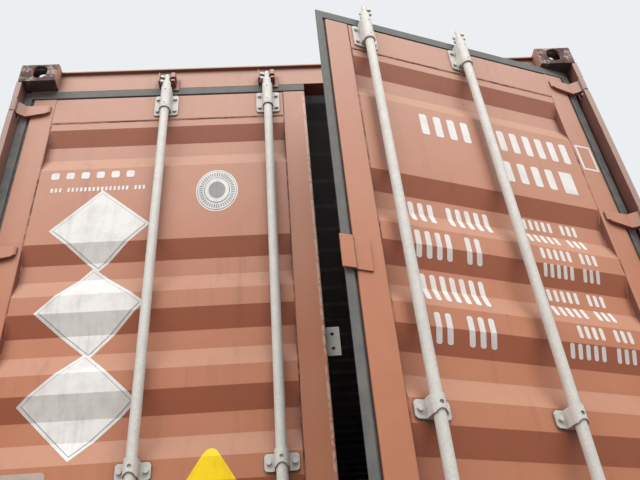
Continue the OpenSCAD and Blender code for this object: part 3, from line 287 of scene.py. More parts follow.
class Nodes:
    """The nodes of a material or of the world."""

    def __init__(self, owner):
        owner.use_nodes = True
        self.tree = owner.node_tree
        self.tree.nodes.clear()

    def add(self, kind, settings=None, inputs=None, output=0):
        """Adds a node: settings first, then values or links for its sockets. Returns one output,
        if the node has any."""
        node = self.tree.nodes.new(kind)
        for name, value in (settings or {}).items():
            setattr(node, name, value)
        for name, value in (inputs or {}).items():
            self.feed(node.inputs[name], value)
        return Channel(self, node.outputs[output]) if node.outputs else None

    def feed(self, socket, value):
        """Links a channel to a socket, or sets the socket's value."""
        if isinstance(value, Channel):
            self.tree.links.new(value.socket, socket)
        elif hasattr(value, "__len__") and len(socket.default_value) == 4 and len(value) == 3:
            socket.default_value = (*value, 1)
        else:
            socket.default_value = value

    def seen(self):
        """1 for rays of the camera, reflections and glass, and 0 for the rest."""
        camera, glossy, through = (self.add("ShaderNodeLightPath", output=f"Is {ray} Ray")
                                   for ray in ("Camera", "Glossy", "Transmission"))
        return camera.most(glossy).most(through)


class Finish(Nodes):
    """A material: its Principled shader, and the nodes that drive it."""

    def __init__(self, name, **constants):
        self.material = bpy.data.materials.new(name)
        super().__init__(self.material)
        self.shader = self.tree.nodes.new("ShaderNodeBsdfPrincipled")
        self.output = self.tree.nodes.new("ShaderNodeOutputMaterial")
        self.tree.links.new(self.shader.outputs["BSDF"], self.output.inputs["Surface"])
        self.drive(**constants)

    def drive(self, **values):
        """Feeds values or channels to the shader's own sockets."""
        for name, value in values.items():
            socket = name.replace("_", " ").title().replace("Ior", "IOR")
            self.feed(self.shader.inputs[socket], value)

    def dissolve(self, factor):
        """Lets through what lies behind, by a factor."""
        clear = self.add("ShaderNodeBsdfTransparent")
        shader = Channel(self, self.shader.outputs["BSDF"])
        self.feed(self.output.inputs["Surface"],
                  self.add("ShaderNodeMixShader", None, {0: factor, 1: shader, 2: clear}))

    def mix(self, factor, first, second):
        """Colour mix of first and second by a factor."""
        settings = {"data_type": "RGBA", "clamp_factor": True}
        return self.add("ShaderNodeMix", settings, {0: factor, 6: first, 7: second}, output=2)

    def place(self, turned=False):
        """Object coordinates, turned back about the right hinge for what rides on the right door."""
        coordinates = self.add("ShaderNodeTexCoord", output="Object")
        if not turned:
            return coordinates
        hinge = Vector(RIGHT_HINGE["pos_m"])
        angle = math.radians(RIGHT_HINGE["range_deg"][0])
        back = hinge - Matrix.Rotation(angle, 3, "Z") @ hinge
        return self.add("ShaderNodeMapping", {"vector_type": "POINT"}, {
            "Vector": coordinates, "Location": back, "Rotation": (0, 0, angle)})

    def stretch(self, place, scale):
        """The coordinates times a scale along each axis."""
        return self.add("ShaderNodeVectorMath", {"operation": "MULTIPLY"}, {0: place, 1: scale})

    def noise(self, place, scale, detail=3.0, roughness=0.5, distortion=0.0):
        """Value noise from 0 to 1."""
        return self.add("ShaderNodeTexNoise", None, {
            "Vector": place, "Scale": scale, "Detail": detail, "Roughness": roughness,
            "Distortion": distortion})

    def axis(self, vector, name):
        """One axis of a vector channel."""
        return self.add("ShaderNodeSeparateXYZ", None, {0: vector}, output=name)

    def facing(self, name="Z"):
        """How far the surface looks along an axis of the piece, from -1 to 1."""
        return self.axis(self.add("ShaderNodeTexCoord", output="Normal"), name)

    def crevice(self, distance):
        """0 in corners and under edges, 1 in the open."""
        return self.add(
            "ShaderNodeAmbientOcclusion", {"samples": 6}, {"Distance": distance}, output="AO")

    def rounded(self, radius):
        """Normal that runs round sharp edges."""
        return self.add("ShaderNodeBevel", {"samples": 4}, {"Radius": radius})

    def edge(self, normal):
        """0 on flats, rising towards sharp edges."""
        plain = self.add("ShaderNodeNewGeometry", output="Normal")
        along = self.add(
            "ShaderNodeVectorMath", {"operation": "DOT_PRODUCT"}, {0: plain, 1: normal}, output="Value")
        return 1 - along

    def bump(self, height, distance, normal=None, strength=1.0):
        """Normal from a height channel, over another normal."""
        inputs = {"Height": height, "Distance": distance, "Strength": strength}
        if normal is not None:
            inputs["Normal"] = normal
        return self.add("ShaderNodeBump", None, inputs)


def inner_faces(finish, place, shell):
    """1 on faces that look into the hold and 0 elsewhere: on the sides where the normal across
    times the place across is negative, at the roof where the normal looks down, and at each end
    where the normal along the container looks back to its middle."""
    along, across, high = (finish.axis(place, name) for name in "XYZ")
    between = 1 - along.size().past(shell.walls)
    sides = (-(finish.facing("Y") * across)).ramp(0.1, 0.3)
    roof = (-finish.facing()).ramp(0.05, 0.2) * high.past(shell.roof)
    ends = (-(finish.facing("X") * along)).ramp(0.3, 1.2) * along.size().past(shell.ends)
    ends = ends * (1 - across.size().ramp(shell.width, shell.width + 0.005))
    return (sides.most(roof) * between).most(ends) * high.past(shell.floor)


def paint_finish(name, look, shell, turned):
    """Sun-bleached paint with run-off, dust on upward faces, grime and painted shade in corners,
    rust spots, a grey coat on the inside, and a chipped edge of the left door at the seam. Painted
    shade darkens faces that look down, narrow gaps and the header's underside."""
    finish = Finish(name, IOR=1.45)
    place = finish.place(turned)
    broad = finish.noise(place, 0.9, 4, 0.6).ramp(0.35, 0.68)
    mottle = finish.noise(place, 9, 8, 0.65)
    runs = finish.noise(finish.stretch(place, (26, 26, 0.9)), 1, 5, 0.6).ramp(0.52, 0.78)
    patches = finish.noise(place, 2.2, 5, 0.6).ramp(0.42, 0.66)
    grain = finish.noise(place, 240, 3, 0.6)
    facing = finish.facing()
    # Mask of grime and painted shade: darker where the ambient occlusion finds a corner.
    corner = 1 - finish.crevice(0.03).ramp(0.45, 1)
    openness = finish.crevice(0.22)
    along, across, high = (finish.axis(place, name) for name in "XYZ")
    doors = along.past(shell.doors)
    side = finish.facing("Y").size().ramp(0.6, 0.9) * doors
    # Mask of painted shade and dirt: narrow gaps, and faces by the doors that look sideways, darkened
    # by their ambient occlusion.
    gap = (1 - openness.ramp(0.30, 0.72)).most(side * (1 - openness.ramp(0.75, 0.95)))
    # Mask of painted shade under the header: faces that look down between its heights.
    soffit_shade = (-facing).ramp(0.5, 0.9) * high.past(shell.header[0]) * (1 - high.past(shell.header[1]))
    post = across.size().ramp(shell.posts, shell.posts + 0.04) * doors
    normal = finish.rounded(0.0025)
    edge = finish.edge(normal).ramp(0.02, 0.2)
    worn = edge * finish.noise(place, 38, 4, 0.7).ramp(0.5, 0.62)

    tint = finish.mix(broad * 0.6 + mottle.ramp(0.3, 0.75) * 0.4, look.base, look.faded)
    tint = finish.mix(high.ramp(1.2, 2.75) * (0.5 + 0.5 * mottle), tint, look.chalk)
    # Painted shade: faces that look down take a darker colour in place of the shade they lie in.
    tint = finish.mix((-facing).ramp(0.05, 0.45) * 0.9, tint, look.underside_shade_and_dirt)
    tint = finish.mix(facing.ramp(0.1, 0.6) * (0.45 + 0.4 * mottle), tint, look.dust)
    tint = finish.mix(post * (0.25 + 0.4 * runs.most(mottle)), tint, look.post)
    tint = finish.mix(edge * 0.45, tint, look.edges)
    if not turned:
        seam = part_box("left_door_frame")[1][1]
        lip = across.ramp(seam - 0.013, seam - 0.010) * (1 - across.ramp(seam, seam + 0.001))
        lip = lip * doors * high.past(shell.lip[0]) * (1 - high.past(shell.lip[1]))
        chips = finish.noise(place, 60, 4, 0.7).ramp(0.42, 0.50)
        tint = finish.mix(lip * chips * 0.8, tint, look.edges)
    # Painted shade and dirt: gaps and the header's underside take the dark stained colour in place of
    # their shade.
    tint = finish.mix(gap.most(soffit_shade) * (0.7 + 0.3 * mottle), tint, look.gap)
    tint = finish.mix(inner_faces(finish, place, shell), tint, look.inner)
    tint = finish.mix(runs * patches * look.runs, tint, look.grime)
    # Grime and painted shade in corners: the grime colour darkens what the occlusion finds enclosed.
    tint = finish.mix(corner * (0.25 + 0.5 * mottle.ramp(0.4, 0.7)), tint, look.grime)
    splash = (1 - high.ramp(0.05, 0.75)) * mottle.ramp(0.3, 0.7)
    tint = finish.mix(splash * 0.45, tint, look.grime)
    spots = finish.noise(place, 55, 4, 0.75).ramp(0.70, 0.735) * patches
    rust = (spots * (look.spots * 5)).most(worn * 0.7)
    tint = finish.mix(rust, tint, look.rust)
    finish.drive(
        base_color=tint,
        roughness=0.5 + 0.16 * mottle + 0.2 * rust,
        normal=finish.bump(grain * 0.25 + mottle * 0.5 + rust * 0.6, 0.0009,
                           finish.bump(finish.noise(place, 2.6, 2, 0.4), 0.006, normal), 0.7))
    return finish.material


def gear_finish(name, look, turned):
    """Dull zinc coat with painted shade on faces that look down, grime and painted shade around
    fixings, and specks of rust.
    """
    finish = Finish(name, IOR=1.5)
    place = finish.place(turned)
    mottle = finish.noise(place, 22, 6, 0.65)
    runs = finish.noise(finish.stretch(place, (60, 60, 2.4)), 1, 4, 0.6)
    corner = 1 - finish.crevice(0.018).ramp(0.35, 0.95)
    normal = finish.rounded(0.0015)
    facing = finish.facing()
    fine = finish.noise(place, 150, 3, 0.6)
    worn = mottle.ramp(0.4, 0.7) * 0.55 + runs.ramp(0.5, 0.8) * 0.45
    tint = finish.mix(worn, look.zinc, look.zinc_worn)
    tint = finish.mix(fine.ramp(0.42, 0.62) * 0.55, tint, look.zinc_worn)
    # Painted shade: faces that look down take the dark grime colour in place of their shade.
    tint = finish.mix((-facing).ramp(0.2, 0.9) * 0.5, tint, look.zinc_grime_and_shade)
    # Grime and painted shade round fixings, where the ambient occlusion finds corners.
    tint = finish.mix(corner * 0.4 * mottle.ramp(0.2, 0.6), tint, look.zinc_grime_and_shade)
    specks = finish.noise(place, 160, 3, 0.7).ramp(0.69, 0.73) * mottle.ramp(0.45, 0.6)
    tint = finish.mix(specks * 0.8, tint, look.zinc_grime_and_shade)
    finish.drive(
        base_color=tint,
        roughness=0.46 + 0.22 * mottle,
        normal=finish.bump(mottle + specks * 0.5, 0.0006, normal, 0.6))
    return finish.material


def casting_finish(name, look, paint):
    """Cast steel: flaked patches and pitted rust, rubbed edges, and the container's paint on the
    faces that look in, where the normal across times the place across is negative."""
    finish = Finish(name, IOR=1.35)
    place = finish.place()
    pits = finish.noise(place, 85, 6, 0.75)
    patches = finish.noise(place, 20, 6, 0.75)
    flaked = finish.noise(place, 9, 7, 0.8, 0.3).ramp(0.50, 0.56) * pits.ramp(0.40, 0.54)
    normal = finish.rounded(0.004)
    rubbed = finish.edge(normal).ramp(0.01, 0.12) * pits.ramp(0.42, 0.6)
    inward = (-(finish.facing("Y") * finish.axis(place, "Y"))).ramp(0.3, 0.8)
    tint = finish.mix(patches.ramp(0.42, 0.6), look.casting, look.casting_rust)
    tint = finish.mix(flaked * 0.8, tint, look.casting_bare)
    tint = finish.mix(pits.ramp(0.6, 0.75) * 0.6, tint, look.casting_bare)
    coat = finish.mix(pits, paint.base, paint.chalk)
    tint = finish.mix(inward * (1 - patches.ramp(0.48, 0.66)), tint, coat)
    tint = finish.mix(rubbed * 0.7, tint, look.casting_bare)
    # Painted shade on the castings' faces that look down.
    tint = finish.mix((-finish.facing()).ramp(0.2, 0.8) * 0.75, tint, look.casting_under_shade)
    tint = finish.mix((1 - finish.crevice(0.05).ramp(0.3, 0.9)) * 0.6, tint, look.casting_rust)
    finish.drive(
        base_color=tint,
        roughness=0.70 + 0.25 * pits,
        normal=finish.bump(pits + patches * 0.6, 0.0026, normal, 0.9))
    return finish.material


def rubber_finish(name, look, turned):
    """Weathered rubber: chalky dust over dark rubber, with fine cracks across it."""
    finish = Finish(name, IOR=1.5)
    place = finish.place(turned)
    dust = finish.noise(place, 18, 6, 0.65).ramp(0.32, 0.68)
    cracks = finish.noise(place, 210, 2, 0.5)
    tint = finish.mix(dust * 0.8 + finish.facing().most(0) * 0.2, look.rubber, look.rubber_dust)
    finish.drive(
        base_color=tint,
        roughness=0.62 + 0.2 * dust,
        normal=finish.bump(cracks, 0.0006, finish.rounded(0.0015), 0.6))
    return finish.material


def board_finish(name, look):
    """Plywood boards with long grain, scuffs and dirt."""
    finish = Finish(name, IOR=1.45)
    place = finish.place()
    grain = finish.noise(finish.stretch(place, (1.4, 38, 38)), 1, 6, 0.7, 0.6)
    scuffs = finish.noise(finish.stretch(place, (0.8, 6, 6)), 1.6, 5, 0.7)
    tint = finish.mix(grain.ramp(0.35, 0.7), look.board, look.board_dark)
    tint = finish.mix(scuffs.ramp(0.5, 0.75) * 0.6, tint, look.board_dark)
    finish.drive(
        base_color=tint,
        roughness=0.6 + 0.25 * scuffs,
        normal=finish.bump(grain, 0.0012, strength=0.6))
    return finish.material


def plastic_finish(name, look):
    """Grey moulded plastic with a chalky surface."""
    finish = Finish(name, IOR=1.46)
    place = finish.place()
    mottle = finish.noise(place, 30, 6, 0.6)
    # Mask of grime and painted shade: darker where the ambient occlusion finds a corner.
    corner = 1 - finish.crevice(0.02).ramp(0.3, 0.95)
    tint = finish.mix(mottle.ramp(0.3, 0.75) * 0.5, look.plastic, look.plastic_chalk)
    # Grime and painted shade in the ventilators' corners.
    tint = finish.mix(corner * 0.6, tint, look.plastic_grime_and_shade)
    finish.drive(
        base_color=tint,
        roughness=0.5 + 0.2 * mottle,
        normal=finish.bump(mottle, 0.0006, finish.rounded(0.002), 0.5))
    return finish.material


def mark_finish(name, tint, grime, turned):
    """Marking film or stencil paint, yellowed in patches and worn through in flecks."""
    finish = Finish(name, IOR=1.35)
    place = finish.place(turned)
    mottle = finish.noise(place, 16, 6, 0.65)
    runs = finish.noise(finish.stretch(place, (40, 40, 1.6)), 1, 4, 0.6).ramp(0.5, 0.8)
    flecks = finish.noise(place, 130, 4, 0.75).ramp(0.66, 0.70)
    worn = finish.mix(mottle.ramp(0.45, 0.8) * 0.25 + runs * 0.2, tint, grime)
    worn = finish.mix(flecks * 0.6, worn, grime)
    finish.drive(
        base_color=worn,
        roughness=0.42 + 0.25 * mottle,
        normal=finish.bump(mottle, 0.0005, strength=0.4))
    return finish.material


def seam_finish(name, look, turned):
    """Weld bead: paint that dirt darkens, broken by stretches of rust."""
    finish = Finish(name, IOR=1.45)
    place = finish.place(turned)
    patches = finish.noise(place, 30, 5, 0.7)
    stretches = finish.noise(place, 5, 3, 0.7)
    tint = finish.mix(finish.axis(place, "Z").ramp(1.2, 2.75) * 0.8, look.base, look.chalk)
    # Dirt darkens patches of the bead, in the colour that is painted shade on the panels.
    tint = finish.mix(patches.ramp(0.45, 0.6), tint, look.underside_shade_and_dirt)
    tint = finish.mix(stretches.ramp(0.46, 0.54) * patches.ramp(0.34, 0.5), tint, look.rust)
    finish.drive(
        base_color=tint,
        roughness=0.6 + 0.25 * patches,
        normal=finish.bump(finish.noise(place, 300, 2), 0.0006, strength=0.6))
    return finish.material


def panel_depth(form, height):
    """Depth of a door panel behind its flats: each recess is a slope down, a flat bottom and a
    slope back, all straight in height."""
    heights, depths = [], []
    for top in form.tops:
        middle = top - form.slope - form.face
        heights += [top, top - form.slope, middle, middle - form.slope]
        depths += [0, form.depth, form.depth, 0]
    order = np.argsort(heights)
    return np.interp(height, np.array(heights)[order], np.array(depths)[order])


def panel_breaks(form):
    """Heights at which a door panel changes slope."""
    steps = np.cumsum([0, form.slope, form.face, form.slope])
    return (np.array(form.tops)[:, None] - steps).ravel()


def turned_points(points):
    """Points of the closed right door, turned about its hinge to where it stands ajar."""
    angle = -math.radians(RIGHT_HINGE["range_deg"][0])
    hinge = np.array(RIGHT_HINGE["pos_m"])
    turn = np.array(Matrix.Rotation(angle, 3, "Z"))
    return (points - hinge) @ turn.T + hinge


def on_door(form, side, across, height, lift):
    """Points lift ahead of a door panel's surface, at places across it and heights above the floor.
    x is the flats' place less the panel's depth plus lift; the right door is then turned."""
    points = np.stack(np.broadcast_arrays(
        form.front - panel_depth(form, height) + lift, across, height), axis=-1)
    return turned_points(points) if side == "right" else points


def loft(rings, closed=False):
    """Skin over rings of points, an array of rings by points by 3. Each ring is a closed loop.
    Neighbouring rings are joined by four-sided faces, and the end rings are capped unless the
    last joins the first. Returns points and faces."""
    count, size = rings.shape[:2]
    spans = count if closed else count - 1
    ring = np.arange(spans)[:, None]
    step = np.arange(size)[None, :]
    ahead, along = (ring + 1) % count, (step + 1) % size
    quads = np.stack([ring * size + step, ring * size + along, ahead * size + along,
                      ahead * size + step], axis=-1).reshape(-1, 4)
    faces = quads.tolist()
    if not closed:
        faces += [list(range(size))[::-1], list(range((count - 1) * size, count * size))]
    return rings.reshape(-1, 3), faces


def make_piece(name, skins, body, material, smooth=False):
    """One mesh object from several skins, riding on a body."""
    points, faces, start = [], [], 0
    for skin_points, skin_faces in skins:
        points.append(skin_points)
        faces += [[start + i for i in face] for face in skin_faces]
        start += len(skin_points)
    if not points:
        raise RuntimeError(f"{name} has no shape")
    mesh = bpy.data.meshes.new(name)
    mesh.from_pydata(np.concatenate(points).tolist(), [], faces)
    mesh.validate()
    mesh.polygons.foreach_set("use_smooth", [smooth] * len(mesh.polygons))
    mesh.materials.append(material)
    mesh.update()
    piece = bpy.data.objects.new(name, mesh)
    bpy.context.scene.collection.objects.link(piece)
    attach(piece, body)


def outline_box(low, high, bottom, top, radius=0.0):
    """Rounded rectangle as heights with a left and a right edge: near the ends the edges draw in
    as radius times one less the root of one less the square of the way into the corner."""
    turn = np.linspace(0, math.pi / 2, 5) if radius else np.zeros(1)
    rise, inset = radius * (1 - np.cos(turn)), radius * (1 - np.sin(turn))
    heights = np.concatenate([bottom + rise, top - rise[::-1]])
    edge = np.concatenate([inset, inset[::-1]])
    return heights, low + edge, high - edge


def outline_oval(across, height, wide, tall, steps=28, tip=0.004):
    """Oval as heights with a left and a right edge: both edges are wide times the cosine of the
    turn away from the middle, and the height is tall times its sine. Its top and bottom keep a
    tip, as a share of wide."""
    turn = np.linspace(-math.pi / 2, math.pi / 2, steps)
    half = wide * np.maximum(np.cos(turn), tip)
    return height + tall * np.sin(turn), across - half, across + half


def outline_peak(across, bottom, shoulder, middle, half, radius, tip=0.0003):
    """Plate with upright sides and a rounded peak: from the shoulder, the edges run straight to a
    circle about the middle of the peak and meet it at a tangent. The tangent leans away from
    upright by the turn to the middle less the arcsine of the radius over the distance."""
    rise = middle - shoulder
    lean = math.atan2(half, rise) - math.asin(radius / math.hypot(half, rise))
    turn = np.linspace(lean, math.pi / 2, 9)
    heights = np.concatenate([[bottom, shoulder], middle + radius * np.sin(turn)])
    side = np.concatenate([[half, half], np.maximum(radius * np.cos(turn), tip)])
    return heights, across - side, across + side


def outline_square(across, height, turn, half, tip=0.0005):
    """Square on its corner: the corners stand half away from the middle at quarter turns from the
    given turn, and the edges run straight between them. Both edges stand a tip further out."""
    angle = turn + math.pi / 2 * np.arange(4)
    side, rise = across + half * np.sin(angle), height + half * np.cos(angle)
    rows = np.unique(rise)
    left = np.interp(rows, rise[[2, 3, 0]], side[[2, 3, 0]])
    right = np.interp(rows, rise[[2, 1, 0]], side[[2, 1, 0]])
    return rows, left - tip, right + tip


def sheet_lift(marks, layer):
    """Lift of the two front and the two back points of a sheet on its layer."""
    return np.array([layer * marks.thickness] * 2 + [-marks.sink] * 2)


def laid_shape(form, marks, side, outline, layer=1, step=0.0):
    """Thin closed sheet that follows a door panel, or lies a step ahead of it: at each height of
    the outline and of the panel's breaks, a ring of four points runs round its front and back."""
    heights, low, high = outline
    breaks = panel_breaks(form)
    breaks = breaks[(breaks > heights[0]) & (breaks < heights[-1])]
    rows = np.unique(np.concatenate([heights, breaks]).round(6))
    left, right = np.interp(rows, heights, low), np.interp(rows, heights, high)
    across = np.stack([left, right, right, left], axis=1)
    return loft(on_door(form, side, across, rows[:, None], step + sheet_lift(marks, layer)))


def laid_frame(form, marks, side, low, high, bottom, top, step=0.0):
    """Empty box: four plain bars laid round a rectangle."""
    line = marks.line
    bars = [(low, high, bottom, bottom + line), (low, high, top - line, top)]
    bars += [(edge, edge + line, bottom + line, top - line) for edge in (low, high - line)]
    return [laid_shape(form, marks, side, outline_box(*bar), step=step) for bar in bars]


def laid_cells(form, marks, side, first, pitch, groups, bottom, height):
    """Row of plain cells at equal pitch: each group of cells is followed by one empty place."""
    sizes = np.array(groups)
    place = np.concatenate([np.arange(size) for size in sizes])
    place = place + np.repeat(np.cumsum(sizes + 1) - sizes - 1, sizes)
    edges = first + pitch * place
    width, top = pitch * marks.fill, bottom + height
    radius = min(marks.corner * 0.6, width * 0.4, height * 0.4)
    return [laid_shape(form, marks, side, outline_box(edge, edge + width, bottom, top, radius))
            for edge in edges]


def laid_ticks(form, marks, side, across, height, wide, tall, inner, outer, layer):
    """Ring of ticks on an oval: each tick runs from inner to outer, as shares of the oval's
    half axes, and is as wide as half the turn from one tick to the next."""
    half = math.pi / marks.ticks / 2
    reach = np.array([inner, outer])[:, None]
    lift = sheet_lift(marks, layer)
    ticks = []
    for turn in np.linspace(0, 2 * math.pi, marks.ticks, endpoint=False):
        angle = turn + half * np.array([-1, 1, 1, -1])
        places = across + wide * reach * np.sin(angle)
        heights = height + tall * reach * np.cos(angle)
        ticks.append(loft(on_door(form, side, places, heights, lift)))
    return ticks


def bead_round_panel(form, seam, side, low, high, seed):
    """Weld bead along a closed path round a door panel: a ring of points whose radius wavers as
    a sum of three sines along the path, carried round the panel's four edges."""
    bottom, top = form.panel_low, form.panel_high
    corners = np.array([(low, bottom), (high, bottom), (high, top), (low, top)])
    edges = []
    for first, last in zip(corners, np.roll(corners, -1, axis=0)):
        steps = max(2, int(np.abs(last - first).sum() / seam.step))
        edges.append(np.linspace(first, last, steps, endpoint=False))
    across, height = np.concatenate(edges).T
    way = np.arange(across.size) * seam.step
    waves = ((41, 1.3), (97, 2.1), (173, 3.7))  # radians per metre, shift
    waver = sum(np.sin(way * rate + seed * shift) for rate, shift in waves)
    radius = seam.radius * (1 + seam.wobble * waver / len(waves))
    ahead = np.roll(across, -1) - np.roll(across, 1)
    rise = np.roll(height, -1) - np.roll(height, 1)
    size = np.hypot(ahead, rise)
    turn = np.linspace(0, 2 * math.pi, seam.sides, endpoint=False)
    out, lift = radius[:, None] * np.cos(turn), radius[:, None] * np.sin(turn)
    base = form.front - panel_depth(form, height)[:, None]
    points = np.stack([base + lift, across[:, None] - out * (rise / size)[:, None],
                       height[:, None] + out * (ahead / size)[:, None]], axis=-1)
    points = turned_points(points) if side == "right" else points
    return loft(points[:, ::-1], closed=True)


class ContainerStep:
    """What the container's operators share."""

    bl_options = {"REGISTER", "UNDO"}

    @staticmethod
    def coat(slot, make):
        """Puts the finish of one of the record's slots on its nodes. The nodes of the right door
        get a second material, whose pattern is turned with the door."""
        names = [row["node"] for row in frame["record"]["subparts"] if row["material_slot"] == slot]
        if not names:
            raise RuntimeError(f"no node has the finish {slot}")
        groups = {False: [], True: []}
        for name in names:
            groups[frame["nodes"][name]["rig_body"] in RIGHT_BODIES].append(name)
        for turned, members in groups.items():
            if not members:
                continue
            material = make(slot + ("_right_door" if turned else ""), turned)
            for name in members:
                mesh = frame["nodes"][name].data
                mesh.materials.clear()
                mesh.materials.append(material)


class CONTAINER_OT_paint(ContainerStep, Operator):
    """Paints the frame, walls, roof, doors, hinges and keepers"""

    bl_idname = "container.paint"
    bl_label = "Paint the steel"

    def execute(self, context):
        look, shell = context.scene.container_paint, context.scene.container_shell
        self.coat("paint", lambda name, turned: paint_finish(name, look, shell, turned))
        return {"FINISHED"}


class CONTAINER_OT_castings(ContainerStep, Operator):
    """Gives the corner castings their rusty finish"""

    bl_idname = "container.castings"
    bl_label = "Rust the castings"

    def execute(self, context):
        look, paint = context.scene.container_steel, context.scene.container_paint
        self.coat("castings", lambda name, turned: casting_finish(name, look, paint))
        return {"FINISHED"}


class CONTAINER_OT_bar_gear(ContainerStep, Operator):
    """Coats the locking bars, handles and brackets in dull zinc"""

    bl_idname = "container.bar_gear"
    bl_label = "Coat the bar gear"

    def execute(self, context):
        look = context.scene.container_steel
        self.coat("lock_gear", lambda name, turned: gear_finish(name, look, turned))
        return {"FINISHED"}


class CONTAINER_OT_rubber(ContainerStep, Operator):
    """Gives the door gaskets their weathered rubber"""

    bl_idname = "container.rubber"
    bl_label = "Weather the gaskets"

    def execute(self, context):
        look = context.scene.container_soft
        self.coat("gaskets", lambda name, turned: rubber_finish(name, look, turned))
        return {"FINISHED"}


class CONTAINER_OT_boards(ContainerStep, Operator):
    """Gives the floor its worn plywood and the ventilators their grey plastic"""

    bl_idname = "container.boards"
    bl_label = "Finish the floor and ventilators"

    def execute(self, context):
        look = context.scene.container_soft
        self.coat("floor", lambda name, turned: board_finish(name, look))
        self.coat("ventilators", lambda name, turned: plastic_finish(name, look))
        return {"FINISHED"}


class CONTAINER_OT_seams(ContainerStep, Operator):
    """Lays a weld bead round each door panel"""

    bl_idname = "container.seams"
    bl_label = "Weld the door panels"

    def execute(self, context):
        form, seam = context.scene.container_doors, context.scene.container_seams
        look = context.scene.container_paint
        edges = (
            ("left", form.left_outer, form.left_inner), ("right", form.right_inner, form.right_outer))
        for seed, (side, low, high) in enumerate(edges, 1):
            bead = bead_round_panel(form, seam, side, low, high, seed)
            make_piece(side + "_door_weld_seam", [bead], side + "_door",
                       seam_finish(side + "_weld_seam", look, side == "right"), smooth=True)
        return {"FINISHED"}


class CONTAINER_OT_right_marks(ContainerStep, Operator):
    """Lays the rows of plain blocks on the right door"""

    bl_idname = "container.right_marks"
    bl_label = "Lay the right door's marks"

    def execute(self, context):
        form, marks = context.scene.container_doors, context.scene.container_marks
        soft, paint = context.scene.container_soft, context.scene.container_paint
        rows = [  # first edge, pitch, groups, bottom, height
            (0.370, 0.0570, (4,), 1.858, marks.cell), (0.697, 0.0570, (6,), 1.857, marks.cell),
            (0.682, 0.0610, (4,), 1.700, 0.100),
            (0.267, 0.0352, (3, 5), 1.450, 0.090), (0.254, 0.0356, (4, 2), 1.301, 0.097),
            (0.259, 0.0338, (7,), 1.147, 0.102), (0.265, 0.0358, (2, 3), 1.002, 0.095),
            (0.710, 0.0262, (5, 3), 1.506, 0.045), (0.708, 0.0272, (5, 3), 1.440, 0.045),
            (0.722, 0.0262, (5, 3), 1.363, 0.045), (0.718, 0.0262, (5, 3), 1.299, 0.045),
            (0.718, 0.0262, (5, 3), 1.213, 0.045), (0.714, 0.0276, (5, 3), 1.149, 0.045),
            (0.765, 0.0276, (4, 3), 1.067, 0.045), (0.720, 0.0290, (5, 3), 1.001, 0.045),
        ]
        shapes = [shape for row in rows for shape in laid_cells(form, marks, "right", *row)]
        shapes += laid_frame(form, marks, "right", 1.064, 1.138, 1.845, 1.979, marks.stile)
        shapes.append(laid_shape(form, marks, "right", outline_box(0.930, 0.987, 1.694, 1.803)))
        make_piece("right_door_marks", shapes, "right_door",
                   mark_finish("right_marks", soft.mark_white, paint.base, True))
        return {"FINISHED"}


class CONTAINER_OT_left_labels(ContainerStep, Operator):
    """Lays the plain labels and the ring on the left door"""

    bl_idname = "container.left_labels"
    bl_label = "Lay the left door's labels"

    def execute(self, context):
        form, marks = context.scene.container_doors, context.scene.container_marks
        soft, paint = context.scene.container_soft, context.scene.container_paint
        white, grey, film, yellow = [], [], [], []

        def lay(pile, outline, layer=1, step=0.0):
            """Adds a shape of the left door to a pile."""
            pile.append(laid_shape(form, marks, "left", outline, layer, step))

        squares = (  # across, height, turn, step
            (-0.791, 1.704, -0.050, 0.0), (-0.784, 1.359, -0.075, -0.0003), (-0.781, 1.018, 0.0, 0.0))
        for *middle, step in squares:
            for layer, (pile, half) in enumerate(zip((white, grey, white), marks.squares), 1):
                lay(pile, outline_square(*middle, half), layer, step)
        middle, (wide, tall) = (-0.366, 1.861), marks.oval
        rings = ((white, 1.0), (grey, 0.94), (white, 0.91), (grey, 0.62), (white, 0.58), (grey, 0.40))
        for layer, (pile, part) in enumerate(rings, 1):
            lay(pile, outline_oval(*middle, wide * part, tall * part), layer)
        grey += laid_ticks(form, marks, "left", *middle, wide, tall, 0.68, 0.85, 4)
        white += laid_cells(form, marks, "left", -1.006, 0.0575, (6,), 1.950, 0.034)
        white += laid_cells(form, marks, "left", -0.998, 0.0158, (3, 15, 3), 1.884, 0.021)
        lay(film, outline_box(-1.020, -0.837, 0.708, 0.808, marks.corner))
        lay(yellow, outline_peak(-0.365, 0.600, 0.690, 0.829, 0.112, 0.022))
        for name, pile in (("white", white), ("grey", grey), ("film", film), ("yellow", yellow)):
            tint = getattr(soft, "mark_" + name)
            make_piece("left_door_labels_" + name, pile, "left_door",
                       mark_finish("left_labels_" + name, tint, paint.grime, False))
        return {"FINISHED"}


